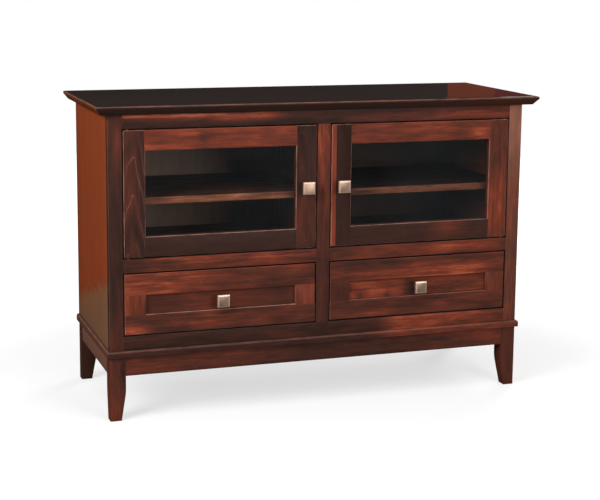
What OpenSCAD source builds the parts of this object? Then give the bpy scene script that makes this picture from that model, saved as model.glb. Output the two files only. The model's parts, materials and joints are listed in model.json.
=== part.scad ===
// Two-door, two-drawer media console on tapered legs.
// Origin: middle of the top's outline, at floor level. +X right, +Y back, +Z up. Millimetres.
// Right-hand pieces are drawn in place, and left-hand ones are their mirror images.

/* [Case] */
// Width over the side panels
case_w = 1168; // [1000:1:1400]
// Depth from the front of the face frame to the back edges
case_d = 435; // [420:1:520]
// Thickness of the side panels and the centre partition
panel_t = 19; // [16:0.5:22]
// Thickness of the case bottom and of the cupboard floors
floor_t = 18; // [15:0.5:20]
// Depth of the housings that hold the bottom, floors and partition
housing_d = 6; // [3:0.5:7]
// Thickness of the back panels
back_t = 6; // [4:0.5:9]
// Width of the rabbet that a back panel sits in
back_lap = 8; // [5:0.5:12]
// Radius of the cable hole in each back panel
cable_hole_r = 30; // [20:1:35]
// Distance from the middle of the cable hole up to the top
cable_hole_down = 55; // [52:1:70]
// Thickness of the cleats under the top
cleat_t = 20; // [15:1:24]
// Width of the cleats under the top
cleat_w = 45; // [30:1:60]

/* [Top] */
// Thickness of the top
top_t = 23; // [22:0.5:30]
// Overhang of the top past each side panel
top_over_side = 35; // [25:1:50]
// Overhang of the top past the face frame
top_over_front = 35; // [28:1:50]
// How far the bevel under the edge runs inwards
top_bevel_w = 14; // [8:0.5:20]
// Height of the bevel under the edge
top_bevel_h = 17; // [8:0.5:18]
// Radius of the upper edge of the top
top_round = 4; // [1:0.5:4.5]

/* [Face frame] */
// Thickness of the face frame, doors and drawer fronts
frame_t = 20; // [18.5:0.5:23]
// Width of the face frame's stiles and lower rails
frame_w = 38; // [36:0.5:45]
// Width of the face frame's top rail
top_rail_w = 39; // [35:0.5:50]
// Height of the drawer openings
drawer_open_h = 166; // [150:1:200]
// Height of the door openings
door_open_h = 336; // [300:1:400]
// Thickness of the frame's tenons
tenon_t = 7; // [5:0.5:9]
// Length of the frame's tenons
tenon_l = 16; // [10:0.5:16.5]
// Shoulder above and below a tenon
tenon_shoulder = 6; // [4:0.5:10]
// Space left beyond the end of a tenon, peg or bolt
mortise_extra = 1; // [0.5:0.1:1.5]
// Chamfer along the edges of openings, doors and fronts
arris = 1.5; // [0.8:0.1:2]
// Joint line between mitred pieces and between the back panels
joint_line = 0.1; // [0.05:0.05:0.3]

/* [Base] */
// Height of the legs
leg_h = 170; // [150:1:220]
// Width of a leg at the top, both ways
leg_w = 42; // [38:0.5:50]
// Width of a leg at the foot, both ways
foot_w = 30; // [24:0.5:36]
// Straight length of a leg below the apron
leg_straight = 30; // [15:1:50]
// Radius that leads into the leg's taper
leg_curve_r = 180; // [100:5:300]
// Height of the aprons
apron_h = 50; // [40:1:60]
// Thickness of the aprons
apron_t = 19; // [16:0.5:22]
// How far the aprons lie behind the legs' outer faces
apron_setback = 1; // [0.5:0.5:3]
// Thickness of the aprons' tenons
apron_tenon_t = 8; // [6:0.5:10]
// Length of the aprons' tenons
apron_tenon_l = 20; // [12:0.5:22]
// Thickness of the moulding frame between base and case
mould_t = 18; // [14:0.5:24]
// Width of the moulding frame's members
mould_w = 70; // [50:1:90]
// How far the moulding stands out from the case
mould_proj = 7; // [4:0.5:12]
// Radius of the moulding's upper edge
mould_round = 6; // [2:0.5:10]
// Length of a corner block along each apron
block_l = 60; // [40:1:80]
// Height of a corner block
block_h = 35; // [25:1:40]

/* [Doors] */
// Gap all round a door or drawer front
reveal = 2.5; // [1.6:0.1:3.2]
// Width of the door stiles
door_stile_w = 57; // [51:0.5:70]
// Width of the door rails
door_rail_w = 54; // [45:0.5:70]
// Chamfer round the glass and round the drawer panels
sight_chamfer = 2; // [1:0.1:3]
// Thickness of the wood in front of the glass
lip_t = 12; // [10.5:0.5:13]
// Width of the rabbet for the glass
rabbet_w = 9; // [6:0.5:12]
// Thickness of the glass
glass_t = 4; // [3:0.5:5]
// Play round the glass and the drawer panels
pane_play = 1; // [0.5:0.1:2]
// Length of the door rails' tenons
door_tenon_l = 25; // [15:0.5:30]

/* [Hinges and catches] */
// Distance of the hinge pin from the door's edge
hinge_inset = 12; // [11:0.5:14]
// Distance of the hinge pin behind the door's face
hinge_setback = 6; // [5:0.5:6]
// Width of a hinge leaf
leaf_w = 8; // [7:0.5:9]
// Thickness of a hinge leaf
leaf_t = 3; // [2:0.5:4]
// Length of a hinge leaf from the pin to its end
leaf_l = 38; // [25:1:40]
// Radius of the hinge pin
hinge_pin_r = 2; // [1.5:0.1:2.5]
// Radial play of hinge pins, pegs and bolts in metal or in their sockets
pin_play = 0.05; // [0.02:0.01:0.08]
// Radius of the washer between the leaves
washer_r = 3.6; // [3:0.1:4]
// End play of the washer and of the pin
washer_play = 0.1; // [0.05:0.05:0.3]
// Reach of a door catch from the partition
catch_w = 26; // [22:1:32]
// Depth of a door catch
catch_d = 30; // [20:1:40]
// Depth of a door catch at its full width
catch_nose_d = 10; // [6:1:14]
// Width of a door catch at its back
catch_tail_w = 13; // [8:1:18]
// Height of a door catch
catch_h = 14; // [10:1:18]
// Distance of a catch below the top of the door
catch_down = 12; // [8:1:40]
// Thickness of the strike plate
strike_t = 1; // [0.8:0.1:2]
// Width of the strike plate
strike_w = 13; // [8:0.5:13]

/* [Drawers] */
// Width of the stiles in a drawer front
front_stile_w = 57; // [50:0.5:70]
// Width of the top rail in a drawer front
front_top_rail_w = 58; // [48:0.5:60]
// Width of the bottom rail in a drawer front
front_bottom_rail_w = 53; // [48:0.5:58]
// How far the panel lies behind the front
panel_recess = 8.5; // [6:0.5:10]
// Thickness of the drawer panel
front_panel_t = 6; // [4:0.5:7]
// Depth of the grooves that hold the panel
groove_d = 8; // [5:0.5:10]
// Thickness of the drawer box boards
box_t = 12; // [10:0.5:15]
// Height of the drawer box
box_h = 120; // [100:1:130]
// Length of the drawer box
box_l = 350; // [300:1:380]
// Height of the drawer box above the bottom rail
box_lift = 14; // [8:1:18]
// Thickness of the drawer bottom
box_bottom_t = 6; // [4:0.5:8]
// Depth of the groove for the drawer bottom
box_groove_d = 6; // [4:0.5:8]
// Height of the drawer bottom above the box's lower edge
box_bottom_up = 9; // [6:0.5:12]
// Number of dovetails at each corner of a drawer box
tail_count = 4; // [3:1:6]
// Share of the pitch that a tail takes at its wide end
tail_share = 0.68; // [0.55:0.01:0.75]
// Slope of the dovetails, as run to rise
tail_slope = 6; // [5:1:8]

/* [Drawer slides] */
// Overall thickness of a drawer slide
slide_t = 12.7; // [11.5:0.1:14]
// Height of a drawer slide
slide_h = 45; // [35:1:60]
// How much shorter a drawer slide is than the drawer box
slide_short = 5; // [4:1:40]
// Wall thickness of the slide's channels
slide_wall = 1.5; // [1:0.1:1.8]
// Running gap between the slide's channels
slide_play = 0.3; // [0.2:0.05:0.5]
// Distance of the slides behind the face frame
slide_setback = 2; // [1:0.5:4]

/* [Shelves] */
// Thickness of a shelf
shelf_t = 18; // [12:0.5:20]
// Height of a shelf's top above the cupboard floor
shelf_up = 152; // [130:1:200]
// How far a shelf lies behind the front of the face frame
shelf_setback = 40; // [36:1:80]
// Gap between a shelf and the back panel, for cables
shelf_back_gap = 20; // [10:1:40]
// Play at each end of a shelf
shelf_play = 1; // [0.5:0.1:2]
// Distance of the shelf supports from the shelf's edges
support_in = 50; // [30:1:90]
// Width of a shelf support
support_w = 12; // [9:0.5:16]
// Reach of a shelf support under the shelf
support_reach = 10; // [7:0.5:14]
// Height of a shelf support
support_h = 16; // [12:0.5:20]
// Metal thickness of a shelf support
support_t = 2; // [1.5:0.1:2.5]
// Radius of a shelf support's peg
peg_r = 2.5; // [2:0.1:3]
// Length of a shelf support's peg
peg_l = 7; // [5:0.5:7.5]
// Distance between the peg holes, up and down
hole_pitch = 50; // [25:1:60]
// Spare peg holes above and below the one in use
spare_holes = 1; // [0:1:2]

/* [Knobs] */
// Width and height of the square knob
knob_w = 33; // [30:0.5:42]
// Projection of the knob from what it is screwed to
knob_proj = 28; // [24:0.5:32]
// Width of the bevel round the knob's face
knob_bevel_w = 3.5; // [1.5:0.5:6]
// Depth of the bevel round the knob's face
knob_bevel_d = 1.5; // [0.5:0.1:2.5]
// Thickness of the knob's edge
knob_edge = 8; // [4:0.5:9]
// Depth of the slope behind the knob's edge
knob_slope = 5; // [3:0.5:6]
// Radius of the knob's neck
knob_neck_r = 7; // [5:0.5:9]
// Radius of the knob's foot
knob_foot_r = 10; // [8:0.5:14]
// Thickness of the knob's foot
knob_foot_t = 2.5; // [1.5:0.5:4]
// Radius of the knob's bolt
bolt_r = 2; // [1.5:0.1:2.5]
// Radial play of the bolt in the wood
bolt_play = 0.3; // [0.2:0.1:0.6]
// Length of the bolt inside the knob
bolt_in = 12; // [8:0.5:15]
// Radius of the bolt's head
bolt_head_r = 4.5; // [3.5:0.1:6]
// Thickness of the bolt's head
bolt_head_t = 2.5; // [1.5:0.1:3.5]

/* [Hidden] */
$fn = 48;
arc_steps = 6;
over_cut = 1;

// Stain and metal colours
stain = "#5b2c1d";
stain_dark = "#3a211b";
inside = "#4a281d";
drawer_wood = "#c79a66";
nickel = "#a8937f";
steel = "#b9bcbf";
brass = "#b08d4a";
glass_tint = [0.72, 0.82, 0.78, 0.35];

// Levels, from the floor up
z_apron = leg_h - apron_h;
z_case = leg_h + mould_t;
z_draw0 = z_case + frame_w;
z_draw1 = z_draw0 + drawer_open_h;
z_door0 = z_draw1 + frame_w;
z_door1 = z_door0 + door_open_h;
z_top = z_door1 + top_rail_w;
z_floor = z_case + floor_t;
z_all = z_top + top_t;

// Depths, from the front back
top_d = case_d + top_over_front;
y_lip = -top_d / 2;
y_front = y_lip + top_over_front;
y_frame = y_front + frame_t;
y_back = y_front + case_d;
y_inner = y_back - back_t;

// Widths, from the middle out
x_out = case_w / 2;
x_in = x_out - panel_t;
x_mid = panel_t / 2;
open_x0 = frame_w / 2;
open_x1 = x_out - frame_w;
top_x = x_out + top_over_side;

// Tenons of the face frame lie in the middle of its thickness
tenon_y0 = y_front + (frame_t - tenon_t) / 2;
tenon_y1 = tenon_y0 + tenon_t;
rail_levels = [[z_case, z_draw0], [z_draw1, z_door0], [z_door1, z_top]];

// Doors and drawer fronts fill their openings, less the gap
leaf_x0 = open_x0 + reveal;
leaf_x1 = open_x1 - reveal;
door_z0 = z_door0 + reveal;
door_z1 = z_door1 - reveal;
sight_x0 = leaf_x0 + door_stile_w;
sight_x1 = leaf_x1 - door_stile_w;
sight_z0 = door_z0 + door_rail_w;
sight_z1 = door_z1 - door_rail_w;
pane_grip = rabbet_w - pane_play;
door_tenon_y0 = y_front + (lip_t - tenon_t) / 2;
front_z0 = z_draw0 + reveal;
front_z1 = z_draw1 - reveal;
panel_x0 = leaf_x0 + front_stile_w;
panel_x1 = leaf_x1 - front_stile_w;
panel_z0 = front_z0 + front_bottom_rail_w;
panel_z1 = front_z1 - front_top_rail_w;

// Hinge pin, in plan
pivot_x = leaf_x1 - hinge_inset;
pivot_y = y_front + hinge_setback;

// Catch and strike, behind the free stile of the door
catch_x = x_mid + catch_w;
catch_z = door_z1 - catch_down - catch_h;
strike_x = catch_x - strike_w;

// Drawer box between its slides
box_x0 = open_x0 + slide_t;
box_x1 = open_x1 - slide_t;
box_y0 = y_frame;
box_y1 = box_y0 + box_l;
box_z0 = z_draw0 + box_lift;
box_z1 = box_z0 + box_h;
slide_z = (box_z0 + box_z1) / 2;
slide_y0 = y_frame + slide_setback;
slide_y1 = slide_y0 + box_l - slide_short;
tail_pitch = box_h / tail_count;

// Shelf and its supports
shelf_z1 = z_door0 + shelf_up;
shelf_z0 = shelf_z1 - shelf_t;
shelf_y0 = y_front + shelf_setback;
shelf_y1 = y_inner - shelf_back_gap;
peg_z = shelf_z0 - support_h / 2;
peg_rows = [shelf_y0 + support_in, shelf_y1 - support_in];

// Knobs sit in the middle of the free stile and of the drawer panel
door_knob_x = leaf_x0 + door_stile_w / 2;
door_knob_z = (door_z0 + door_z1) / 2;
drawer_knob_x = (panel_x0 + panel_x1) / 2;
drawer_knob_z = (panel_z0 + panel_z1) / 2;

// Taper of a leg: an arc from the straight part, then a straight run to the foot
leg_z = z_apron - leg_straight;
leg_loss = leg_w - foot_w;
leg_reach = sqrt(pow(leg_curve_r - leg_loss, 2) + pow(leg_z, 2));
leg_angle = atan2(leg_z, leg_curve_r - leg_loss) - acos(leg_curve_r / leg_reach);

// Shapes that more than one piece uses

module slab(low, high) { translate(low) cube(high - low); }

// Right side as drawn for side = 1, mirrored for side = -1
module on_side(side) {
    if (side > 0) children();
    else mirror([1, 0, 0]) children();
}

module both_sides() {
    children();
    mirror([1, 0, 0]) children();
}

// Front corner as drawn, or turned to the back by mirroring about the case's middle
module at_back(back) {
    if (back) translate([0, y_front + y_back, 0]) mirror([0, 1, 0]) children();
    else children();
}

// Prisms: a Y-Z section along X, an X-Z section along Y, an X-Y section along Z
module along_x(x0, x1) {
    translate([x0, 0, 0]) rotate([90, 0, 90]) linear_extrude(x1 - x0) children();
}

module along_y(y0, y1) {
    translate([0, y1, 0]) rotate([90, 0, 0]) linear_extrude(y1 - y0) children();
}

module along_z(z0, z1) {
    translate([0, 0, z0]) linear_extrude(z1 - z0) children();
}

function swap(points) = [for (p = points) [p.y, p.x]];

function arc(centre, r, from, to) = [
    for (i = [0:arc_steps])
        let (a = from + (to - from) * i / arc_steps)
            centre + r * [cos(a), sin(a)]
];

// Outline of a board from a to b whose two front corners are chamfered
function chamfered_board(a, b) = [
    [a + arris, y_front], [b - arris, y_front], [b, y_front + arris],
    [b, y_frame], [a, y_frame], [a, y_front + arris]
];

// Outline that widens towards the front, to chamfer an opening from a to b
function flared_opening(a, b) = [
    [a - 2 * arris, y_front - arris], [b + 2 * arris, y_front - arris],
    [b, y_front + arris], [a, y_front + arris]
];

// Outer shape of a door or drawer front, with its four front edges chamfered
module front_blank(z0, z1) {
    intersection() {
        along_z(z0, z1) polygon(chamfered_board(leaf_x0, leaf_x1));
        along_x(leaf_x0, leaf_x1) polygon(swap(chamfered_board(z0, z1)));
    }
}

// Cutter that chamfers the face frame round one opening
module opening_cutter(z0, z1) {
    reach = 2 * arris;
    intersection() {
        along_z(z0 - reach, z1 + reach) polygon(flared_opening(open_x0, open_x1));
        along_x(open_x0 - reach, open_x1 + reach) polygon(swap(flared_opening(z0, z1)));
    }
}

module opening_cutters() {
    both_sides() {
        opening_cutter(z_draw0, z_draw1);
        opening_cutter(z_door0, z_door1);
    }
}

// Case

function edge_section(edge) = concat(
    [[edge + top_bevel_w, z_top], [edge, z_top + top_bevel_h]],
    arc([edge + top_round, z_all - top_round], top_round, 180, 90)
);

module top_panel() {
    side = edge_section(-top_x);
    color(stain_dark) intersection() {
        along_x(-top_x, top_x) polygon(concat(edge_section(y_lip), [[y_back, z_all], [y_back, z_top]]));
        along_y(y_lip, y_back)
            polygon(concat(side, [for (i = [len(side) - 1:-1:0]) [-side[i].x, side[i].y]]));
    }
}

// Cutter for the housing of a cupboard floor
module floor_housing(x0, x1) {
    slab([x0, y_frame - over_cut, z_door0 - floor_t], [x1, y_inner, z_door0]);
}

module peg_holes(x, way) {
    for (y = peg_rows, k = [-spare_holes:spare_holes])
        translate([x, y, peg_z + k * hole_pitch]) rotate([0, 90 * way, 0])
            translate([0, 0, -over_cut])
                cylinder(h = peg_l + mortise_extra + over_cut, r = peg_r + pin_play);
}

module side_panel(side) {
    color(stain) on_side(side) difference() {
        slab([x_in, y_frame, z_case], [x_out, y_back, z_top]);
        slab([x_in - over_cut, y_frame - over_cut, z_case - over_cut],
            [x_in + housing_d, y_inner, z_floor]);
        floor_housing(x_in - over_cut, x_in + housing_d);
        slab([x_in - over_cut, y_inner, z_case - over_cut],
            [x_in + back_lap, y_back + over_cut, z_top + over_cut]);
        peg_holes(x_in, 1);
    }
}

module centre_partition() {
    color(inside) difference() {
        slab([-x_mid, y_frame, z_floor - housing_d], [x_mid, y_inner, z_top]);
        both_sides() {
            floor_housing(x_mid - housing_d, x_mid + over_cut);
            peg_holes(x_mid, -1);
        }
    }
}

module case_bottom() {
    end = x_in + housing_d;
    color(inside) difference() {
        slab([-end, y_frame, z_case], [end, y_inner, z_floor]);
        slab([-x_mid, y_frame - over_cut, z_floor - housing_d],
            [x_mid, y_inner + over_cut, z_floor + over_cut]);
    }
}

module cupboard_floors() {
    color(inside) both_sides()
        slab([x_mid - housing_d, y_frame, z_door0 - floor_t], [x_in + housing_d, y_inner, z_door0]);
}

module back_panels() {
    color(inside) both_sides() difference() {
        slab([joint_line, y_inner, z_case], [x_in + back_lap, y_back, z_top]);
        translate([(x_mid + x_in) / 2, y_back + over_cut, z_top - cable_hole_down]) rotate([90, 0, 0])
            cylinder(h = back_t + 2 * over_cut, r = cable_hole_r);
    }
}

module top_cleats() {
    color(inside) both_sides() {
        slab([x_mid, y_frame, z_top - cleat_t], [x_in, y_frame + cleat_w, z_top]);
        slab([x_mid, y_inner - cleat_w, z_top - cleat_t], [x_in, y_inner, z_top]);
    }
}

// Face frame

module rail_tenon(x0, x1, level) {
    slab([x0, tenon_y0, level[0] + tenon_shoulder], [x1, tenon_y1, level[1] - tenon_shoulder]);
}

module stile_tenon(z0, z1) {
    half = open_x0 - tenon_shoulder;
    slab([-half, tenon_y0, z0], [half, tenon_y1, z1]);
}

module frame_stiles_outer() {
    color(stain) both_sides() difference() {
        along_z(z_case, z_top) polygon([
            [open_x1, y_front], [x_out - arris, y_front], [x_out, y_front + arris],
            [x_out, y_frame], [open_x1, y_frame]
        ]);
        for (level = rail_levels) rail_tenon(open_x1 - over_cut, open_x1 + tenon_l + mortise_extra, level);
        opening_cutters();
    }
}

module frame_stile_centre() {
    color(stain) difference() {
        union() {
            slab([-open_x0, y_front, z_draw0], [open_x0, y_frame, z_door1]);
            stile_tenon(z_draw0 - tenon_l, z_door1 + tenon_l);
        }
        both_sides() rail_tenon(open_x0 - tenon_l - mortise_extra, open_x0 + over_cut, rail_levels[1]);
        opening_cutters();
    }
}

module frame_rail(level) {
    end = open_x1 + tenon_l;
    slab([-open_x1, y_front, level[0]], [open_x1, y_frame, level[1]]);
    rail_tenon(-end, end, level);
}

module frame_rail_top() {
    color(stain) difference() {
        frame_rail(rail_levels[2]);
        stile_tenon(z_door1 - over_cut, z_door1 + tenon_l + mortise_extra);
        opening_cutters();
        both_sides() at_hinge(true) case_leaf_recess();
    }
}

module frame_rails_middle() {
    level = rail_levels[1];
    color(stain) both_sides() difference() {
        union() {
            slab([open_x0, y_front, level[0]], [open_x1, y_frame, level[1]]);
            rail_tenon(open_x0 - tenon_l, open_x1 + tenon_l, level);
        }
        opening_cutters();
        at_hinge(false) case_leaf_recess();
    }
}

module frame_rail_bottom() {
    color(stain) difference() {
        frame_rail(rail_levels[0]);
        stile_tenon(z_draw0 - tenon_l - mortise_extra, z_draw0 + over_cut);
        opening_cutters();
    }
}

// Base

leg_taper = concat(
    [[0, leg_h], [0, 0], [foot_w, 0]],
    [for (i = [arc_steps:-1:0])
        let (a = leg_angle * i / arc_steps)
            [leg_w - leg_curve_r * (1 - cos(a)), leg_z - leg_curve_r * sin(a)]],
    [[leg_w, leg_h]]
);

// Tenon of the front apron, and the same tenon turned to the side apron
module front_apron_tenon(extra) {
    y0 = y_front + apron_setback + (apron_t - apron_tenon_t) / 2;
    end = x_out - leg_w + apron_tenon_l + extra;
    slab([x_out - leg_w - extra, y0, z_apron + tenon_shoulder],
        [end, y0 + apron_tenon_t, leg_h - tenon_shoulder]);
}

module side_apron_tenon(extra) {
    x0 = x_out - apron_setback - (apron_t + apron_tenon_t) / 2;
    end = y_front + leg_w - apron_tenon_l - extra;
    slab([x0, end, z_apron + tenon_shoulder],
        [x0 + apron_tenon_t, y_front + leg_w + extra, leg_h - tenon_shoulder]);
}

module leg(side, back) {
    color(stain) on_side(side) at_back(back) difference() {
        intersection() {
            along_y(y_front, y_front + leg_w) polygon([for (p = leg_taper) [x_out - p.x, p.y]]);
            along_x(x_out - leg_w, x_out) polygon([for (p = leg_taper) [y_front + p.x, p.y]]);
            along_z(0, leg_h) polygon([
                [x_out - leg_w, y_front], [x_out - arris, y_front], [x_out, y_front + arris],
                [x_out, y_front + leg_w], [x_out - leg_w, y_front + leg_w]
            ]);
        }
        front_apron_tenon(mortise_extra);
        side_apron_tenon(mortise_extra);
    }
}

module apron_across(back) {
    end = x_out - leg_w;
    y0 = y_front + apron_setback;
    color(stain) at_back(back) {
        slab([-end, y0, z_apron], [end, y0 + apron_t, leg_h]);
        both_sides() front_apron_tenon(0);
    }
}

module aprons_side() {
    x1 = x_out - apron_setback;
    color(stain) both_sides() {
        slab([x1 - apron_t, y_front + leg_w, z_apron], [x1, y_back - leg_w, leg_h]);
        side_apron_tenon(0);
        at_back(true) side_apron_tenon(0);
    }
}

// Section of the moulding: flat below, rounded at the upper outer edge
function mould_section(edge) = concat(
    [[edge + mould_w, leg_h], [edge, leg_h]],
    arc([edge + mould_round, z_case - mould_round], mould_round, 180, 90),
    [[edge + mould_w, z_case]]
);

module base_moulding() {
    x1 = x_out + mould_proj;
    x0 = x1 - mould_w;
    y0 = y_front - mould_proj;
    y1 = y0 + mould_w;
    g = joint_line;
    color(stain) {
        intersection() {
            along_x(-x1, x1) polygon(mould_section(y0));
            along_z(leg_h, z_case) polygon([[g - x1, y0], [x1 - g, y0], [x0 - g, y1], [g - x0, y1]]);
        }
        both_sides() mirror([1, 0, 0]) intersection() {
            along_y(y0, y_back) polygon(mould_section(-x1));
            along_z(leg_h, z_case) polygon([[-x1, y0], [-x0, y1], [-x0, y_back], [-x1, y_back]]);
        }
        slab([g - x0, y_back - mould_w, leg_h], [x0 - g, y_back, z_case]);
    }
}

module corner_blocks() {
    leg_x = x_out - leg_w;
    leg_y = y_front + leg_w;
    side_x = x_out - apron_setback - apron_t;
    front_y = y_front + apron_setback + apron_t;
    color(inside) both_sides() for (back = [false, true]) at_back(back)
        along_z(leg_h - block_h, leg_h) polygon([
            [leg_x, front_y], [leg_x, leg_y], [side_x, leg_y],
            [side_x, leg_y + block_l], [leg_x - block_l, front_y]
        ]);
}

// Shelves

module shelves() {
    color(inside) both_sides()
        slab([x_mid + shelf_play, shelf_y0, shelf_z0], [x_in - shelf_play, shelf_y1, shelf_z1]);
}

// L-shaped support whose peg goes into the panel face at x; way is +1 for a face that looks left
module shelf_support(x, way) {
    translate([x, 0, shelf_z0]) mirror([way > 0 ? 1 : 0, 0, 0]) for (y = peg_rows) {
        along_y(y - support_w / 2, y + support_w / 2) polygon([
            [0, 0], [0, -support_h], [support_t, -support_h],
            [support_t, -support_t], [support_reach, -support_t], [support_reach, 0]
        ]);
        translate([support_t / 2, y, -support_h / 2]) rotate([0, -90, 0])
            cylinder(h = peg_l + support_t / 2, r = peg_r);
    }
}

module shelf_supports() {
    color(steel) both_sides() {
        shelf_support(x_in, 1);
        shelf_support(x_mid, -1);
    }
}

// Pivot hinges: one leaf let into the rail with a fixed pin, one let into the door's end

module at_hinge(top) {
    if (top) translate([0, 0, z_door1]) children();
    else translate([0, 0, z_door0]) mirror([0, 0, 1]) children();
}

module leaf_outline() {
    r = leaf_w / 2;
    end = pivot_x - leaf_l;
    polygon(concat(arc([pivot_x, pivot_y], r, -90, 90), [[end, pivot_y + r], [end, pivot_y - r]]));
}

module case_leaf_recess() { along_z(-over_cut, leaf_t) leaf_outline(); }

module door_leaf_recess() { along_z(-reveal - leaf_t, -reveal + over_cut) leaf_outline(); }

module hinge_case_leaves() {
    pin_l = reveal + leaf_t - washer_play;
    color(brass) both_sides() for (top = [true, false]) at_hinge(top) {
        along_z(0, leaf_t) leaf_outline();
        translate([pivot_x, pivot_y, -reveal + washer_play])
            cylinder(h = reveal - washer_play + leaf_t / 2, r = washer_r);
        translate([pivot_x, pivot_y, -pin_l]) cylinder(h = pin_l + leaf_t / 2, r = hinge_pin_r);
    }
}

module door_hinge_leaves(side) {
    color(brass) on_side(side) for (top = [true, false]) at_hinge(top) difference() {
        along_z(-reveal - leaf_t, -reveal) leaf_outline();
        translate([pivot_x, pivot_y, -reveal - leaf_t - over_cut])
            cylinder(h = leaf_t + 2 * over_cut, r = hinge_pin_r + pin_play);
    }
}

// Catches on the partition, strike plates on the doors

module door_catches() {
    y0 = y_frame + strike_t + slide_play;
    color(stain_dark) both_sides() along_z(catch_z, catch_z + catch_h) polygon([
        [x_mid, y0], [catch_x, y0], [catch_x, y0 + catch_nose_d],
        [x_mid + catch_tail_w, y0 + catch_d], [x_mid, y0 + catch_d]
    ]);
}

module door_strike(side) {
    color(steel) on_side(side)
        slab([strike_x, y_frame, catch_z], [catch_x, y_frame + strike_t, catch_z + catch_h]);
}

// Doors: through stiles, rails coped and tenoned between them, glass held by beads

// Section across a door member: w wide, rabbeted behind the glass
function sash_section(w) = [
    [0, 0], [w - sight_chamfer, 0], [w, sight_chamfer], [w, lip_t],
    [w - rabbet_w, lip_t], [w - rabbet_w, frame_t], [0, frame_t]
];

module door_stile_bars() {
    for (bar = [[leaf_x0, 1], [leaf_x1, -1]])
        along_z(door_z0, door_z1)
            polygon([for (p = sash_section(door_stile_w)) [bar[0] + bar[1] * p.x, y_front + p.y]]);
}

module door_rail_bars() {
    for (bar = [[door_z0, 1], [door_z1, -1]])
        along_x(sight_x0 - rabbet_w, sight_x1 + rabbet_w)
            polygon([for (p = sash_section(door_rail_w)) [y_front + p.y, bar[0] + bar[1] * p.x]]);
}

// Tenons of the door rails keep clear of the hinge leaves
module door_tenons(extra) {
    reach = door_tenon_l + extra;
    y1 = door_tenon_y0 + tenon_t;
    tenon_h = door_rail_w - leaf_t - 2 * tenon_shoulder;
    for (z = [door_z0 + leaf_t + tenon_shoulder, sight_z1 + tenon_shoulder]) {
        slab([sight_x0 - reach, door_tenon_y0, z], [sight_x0 + over_cut, y1, z + tenon_h]);
        slab([sight_x1 - over_cut, door_tenon_y0, z], [sight_x1 + reach, y1, z + tenon_h]);
    }
}

module bolt_hole(x, z, depth) {
    translate([x, y_front + depth, z]) rotate([90, 0, 0])
        cylinder(h = depth + over_cut, r = bolt_r + bolt_play);
}

module door_stiles(side) {
    color(stain) on_side(side) difference() {
        intersection() {
            front_blank(door_z0, door_z1);
            door_stile_bars();
        }
        door_tenons(mortise_extra);
        at_hinge(true) door_leaf_recess();
        at_hinge(false) door_leaf_recess();
        bolt_hole(door_knob_x, door_knob_z, frame_t + over_cut);
    }
}

module door_rails(side) {
    color(stain) on_side(side) {
        difference() {
            intersection() {
                front_blank(door_z0, door_z1);
                door_rail_bars();
            }
            door_stile_bars();
        }
        door_tenons(0);
    }
}

module door_glass(side) {
    y0 = y_front + lip_t;
    color(glass_tint) on_side(side)
        slab([sight_x0 - pane_grip, y0, sight_z0 - pane_grip],
            [sight_x1 + pane_grip, y0 + glass_t, sight_z1 + pane_grip]);
}

module door_beads(side) {
    x0 = sight_x0 - rabbet_w;
    x1 = sight_x1 + rabbet_w;
    z0 = sight_z0 - rabbet_w;
    z1 = sight_z1 + rabbet_w;
    g = joint_line;
    color(stain) on_side(side) along_y(y_front + lip_t + glass_t, y_frame) {
        polygon([[x0 + g, z0], [x1 - g, z0], [sight_x1 - g, sight_z0], [sight_x0 + g, sight_z0]]);
        polygon([[x0 + g, z1], [x1 - g, z1], [sight_x1 - g, sight_z1], [sight_x0 + g, sight_z1]]);
        polygon([[x0, z0], [x0, z1], [sight_x0, sight_z1], [sight_x0, sight_z0]]);
        polygon([[x1, z0], [x1, z1], [sight_x1, sight_z1], [sight_x1, sight_z0]]);
    }
}

// Square knob: bevelled face, thin edge, sloped back, round neck and foot

knob_profile = [
    [knob_neck_r, -(knob_proj - knob_bevel_d - knob_edge - knob_slope)],
    [knob_w / 2, -(knob_proj - knob_bevel_d - knob_edge)],
    [knob_w / 2, -(knob_proj - knob_bevel_d)],
    [knob_w / 2 - knob_bevel_w, -knob_proj]
];
knob_outline = concat(
    knob_profile,
    [for (i = [len(knob_profile) - 1:-1:0]) [-knob_profile[i].x, knob_profile[i].y]]
);

module knob(side, at, bolt_reach) {
    neck_l = knob_proj - knob_bevel_d - knob_edge - knob_slope / 2;
    color(nickel) on_side(side) translate(at) {
        difference() {
            union() {
                intersection() {
                    along_z(-knob_w / 2, knob_w / 2) polygon(knob_outline);
                    along_x(-knob_w / 2, knob_w / 2) polygon(swap(knob_outline));
                }
                rotate([90, 0, 0]) cylinder(h = neck_l, r = knob_neck_r);
                rotate([90, 0, 0]) cylinder(h = knob_foot_t, r = knob_foot_r);
            }
            translate([0, over_cut, 0]) rotate([90, 0, 0])
                cylinder(h = bolt_in + mortise_extra + over_cut, r = bolt_r + pin_play);
        }
        translate([0, bolt_reach, 0]) rotate([90, 0, 0]) cylinder(h = bolt_reach + bolt_in, r = bolt_r);
        translate([0, bolt_reach + bolt_head_t, 0]) rotate([90, 0, 0])
            cylinder(h = bolt_head_t, r = bolt_head_r);
    }
}

module door_knob(side) { knob(side, [door_knob_x, y_front, door_knob_z], frame_t); }

module drawer_knob(side) {
    at = [drawer_knob_x, y_front + panel_recess, drawer_knob_z];
    knob(side, at, frame_t + box_t - panel_recess);
}

// Drawer fronts: through rails, stub-tenoned stiles, a flat panel in grooves

// Section across a front member: w wide, grooved for the panel
function front_section(w) = [
    [0, 0], [w - sight_chamfer, 0], [w, sight_chamfer], [w, panel_recess],
    [w - groove_d, panel_recess], [w - groove_d, panel_recess + front_panel_t],
    [w, panel_recess + front_panel_t], [w, frame_t], [0, frame_t]
];

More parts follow.
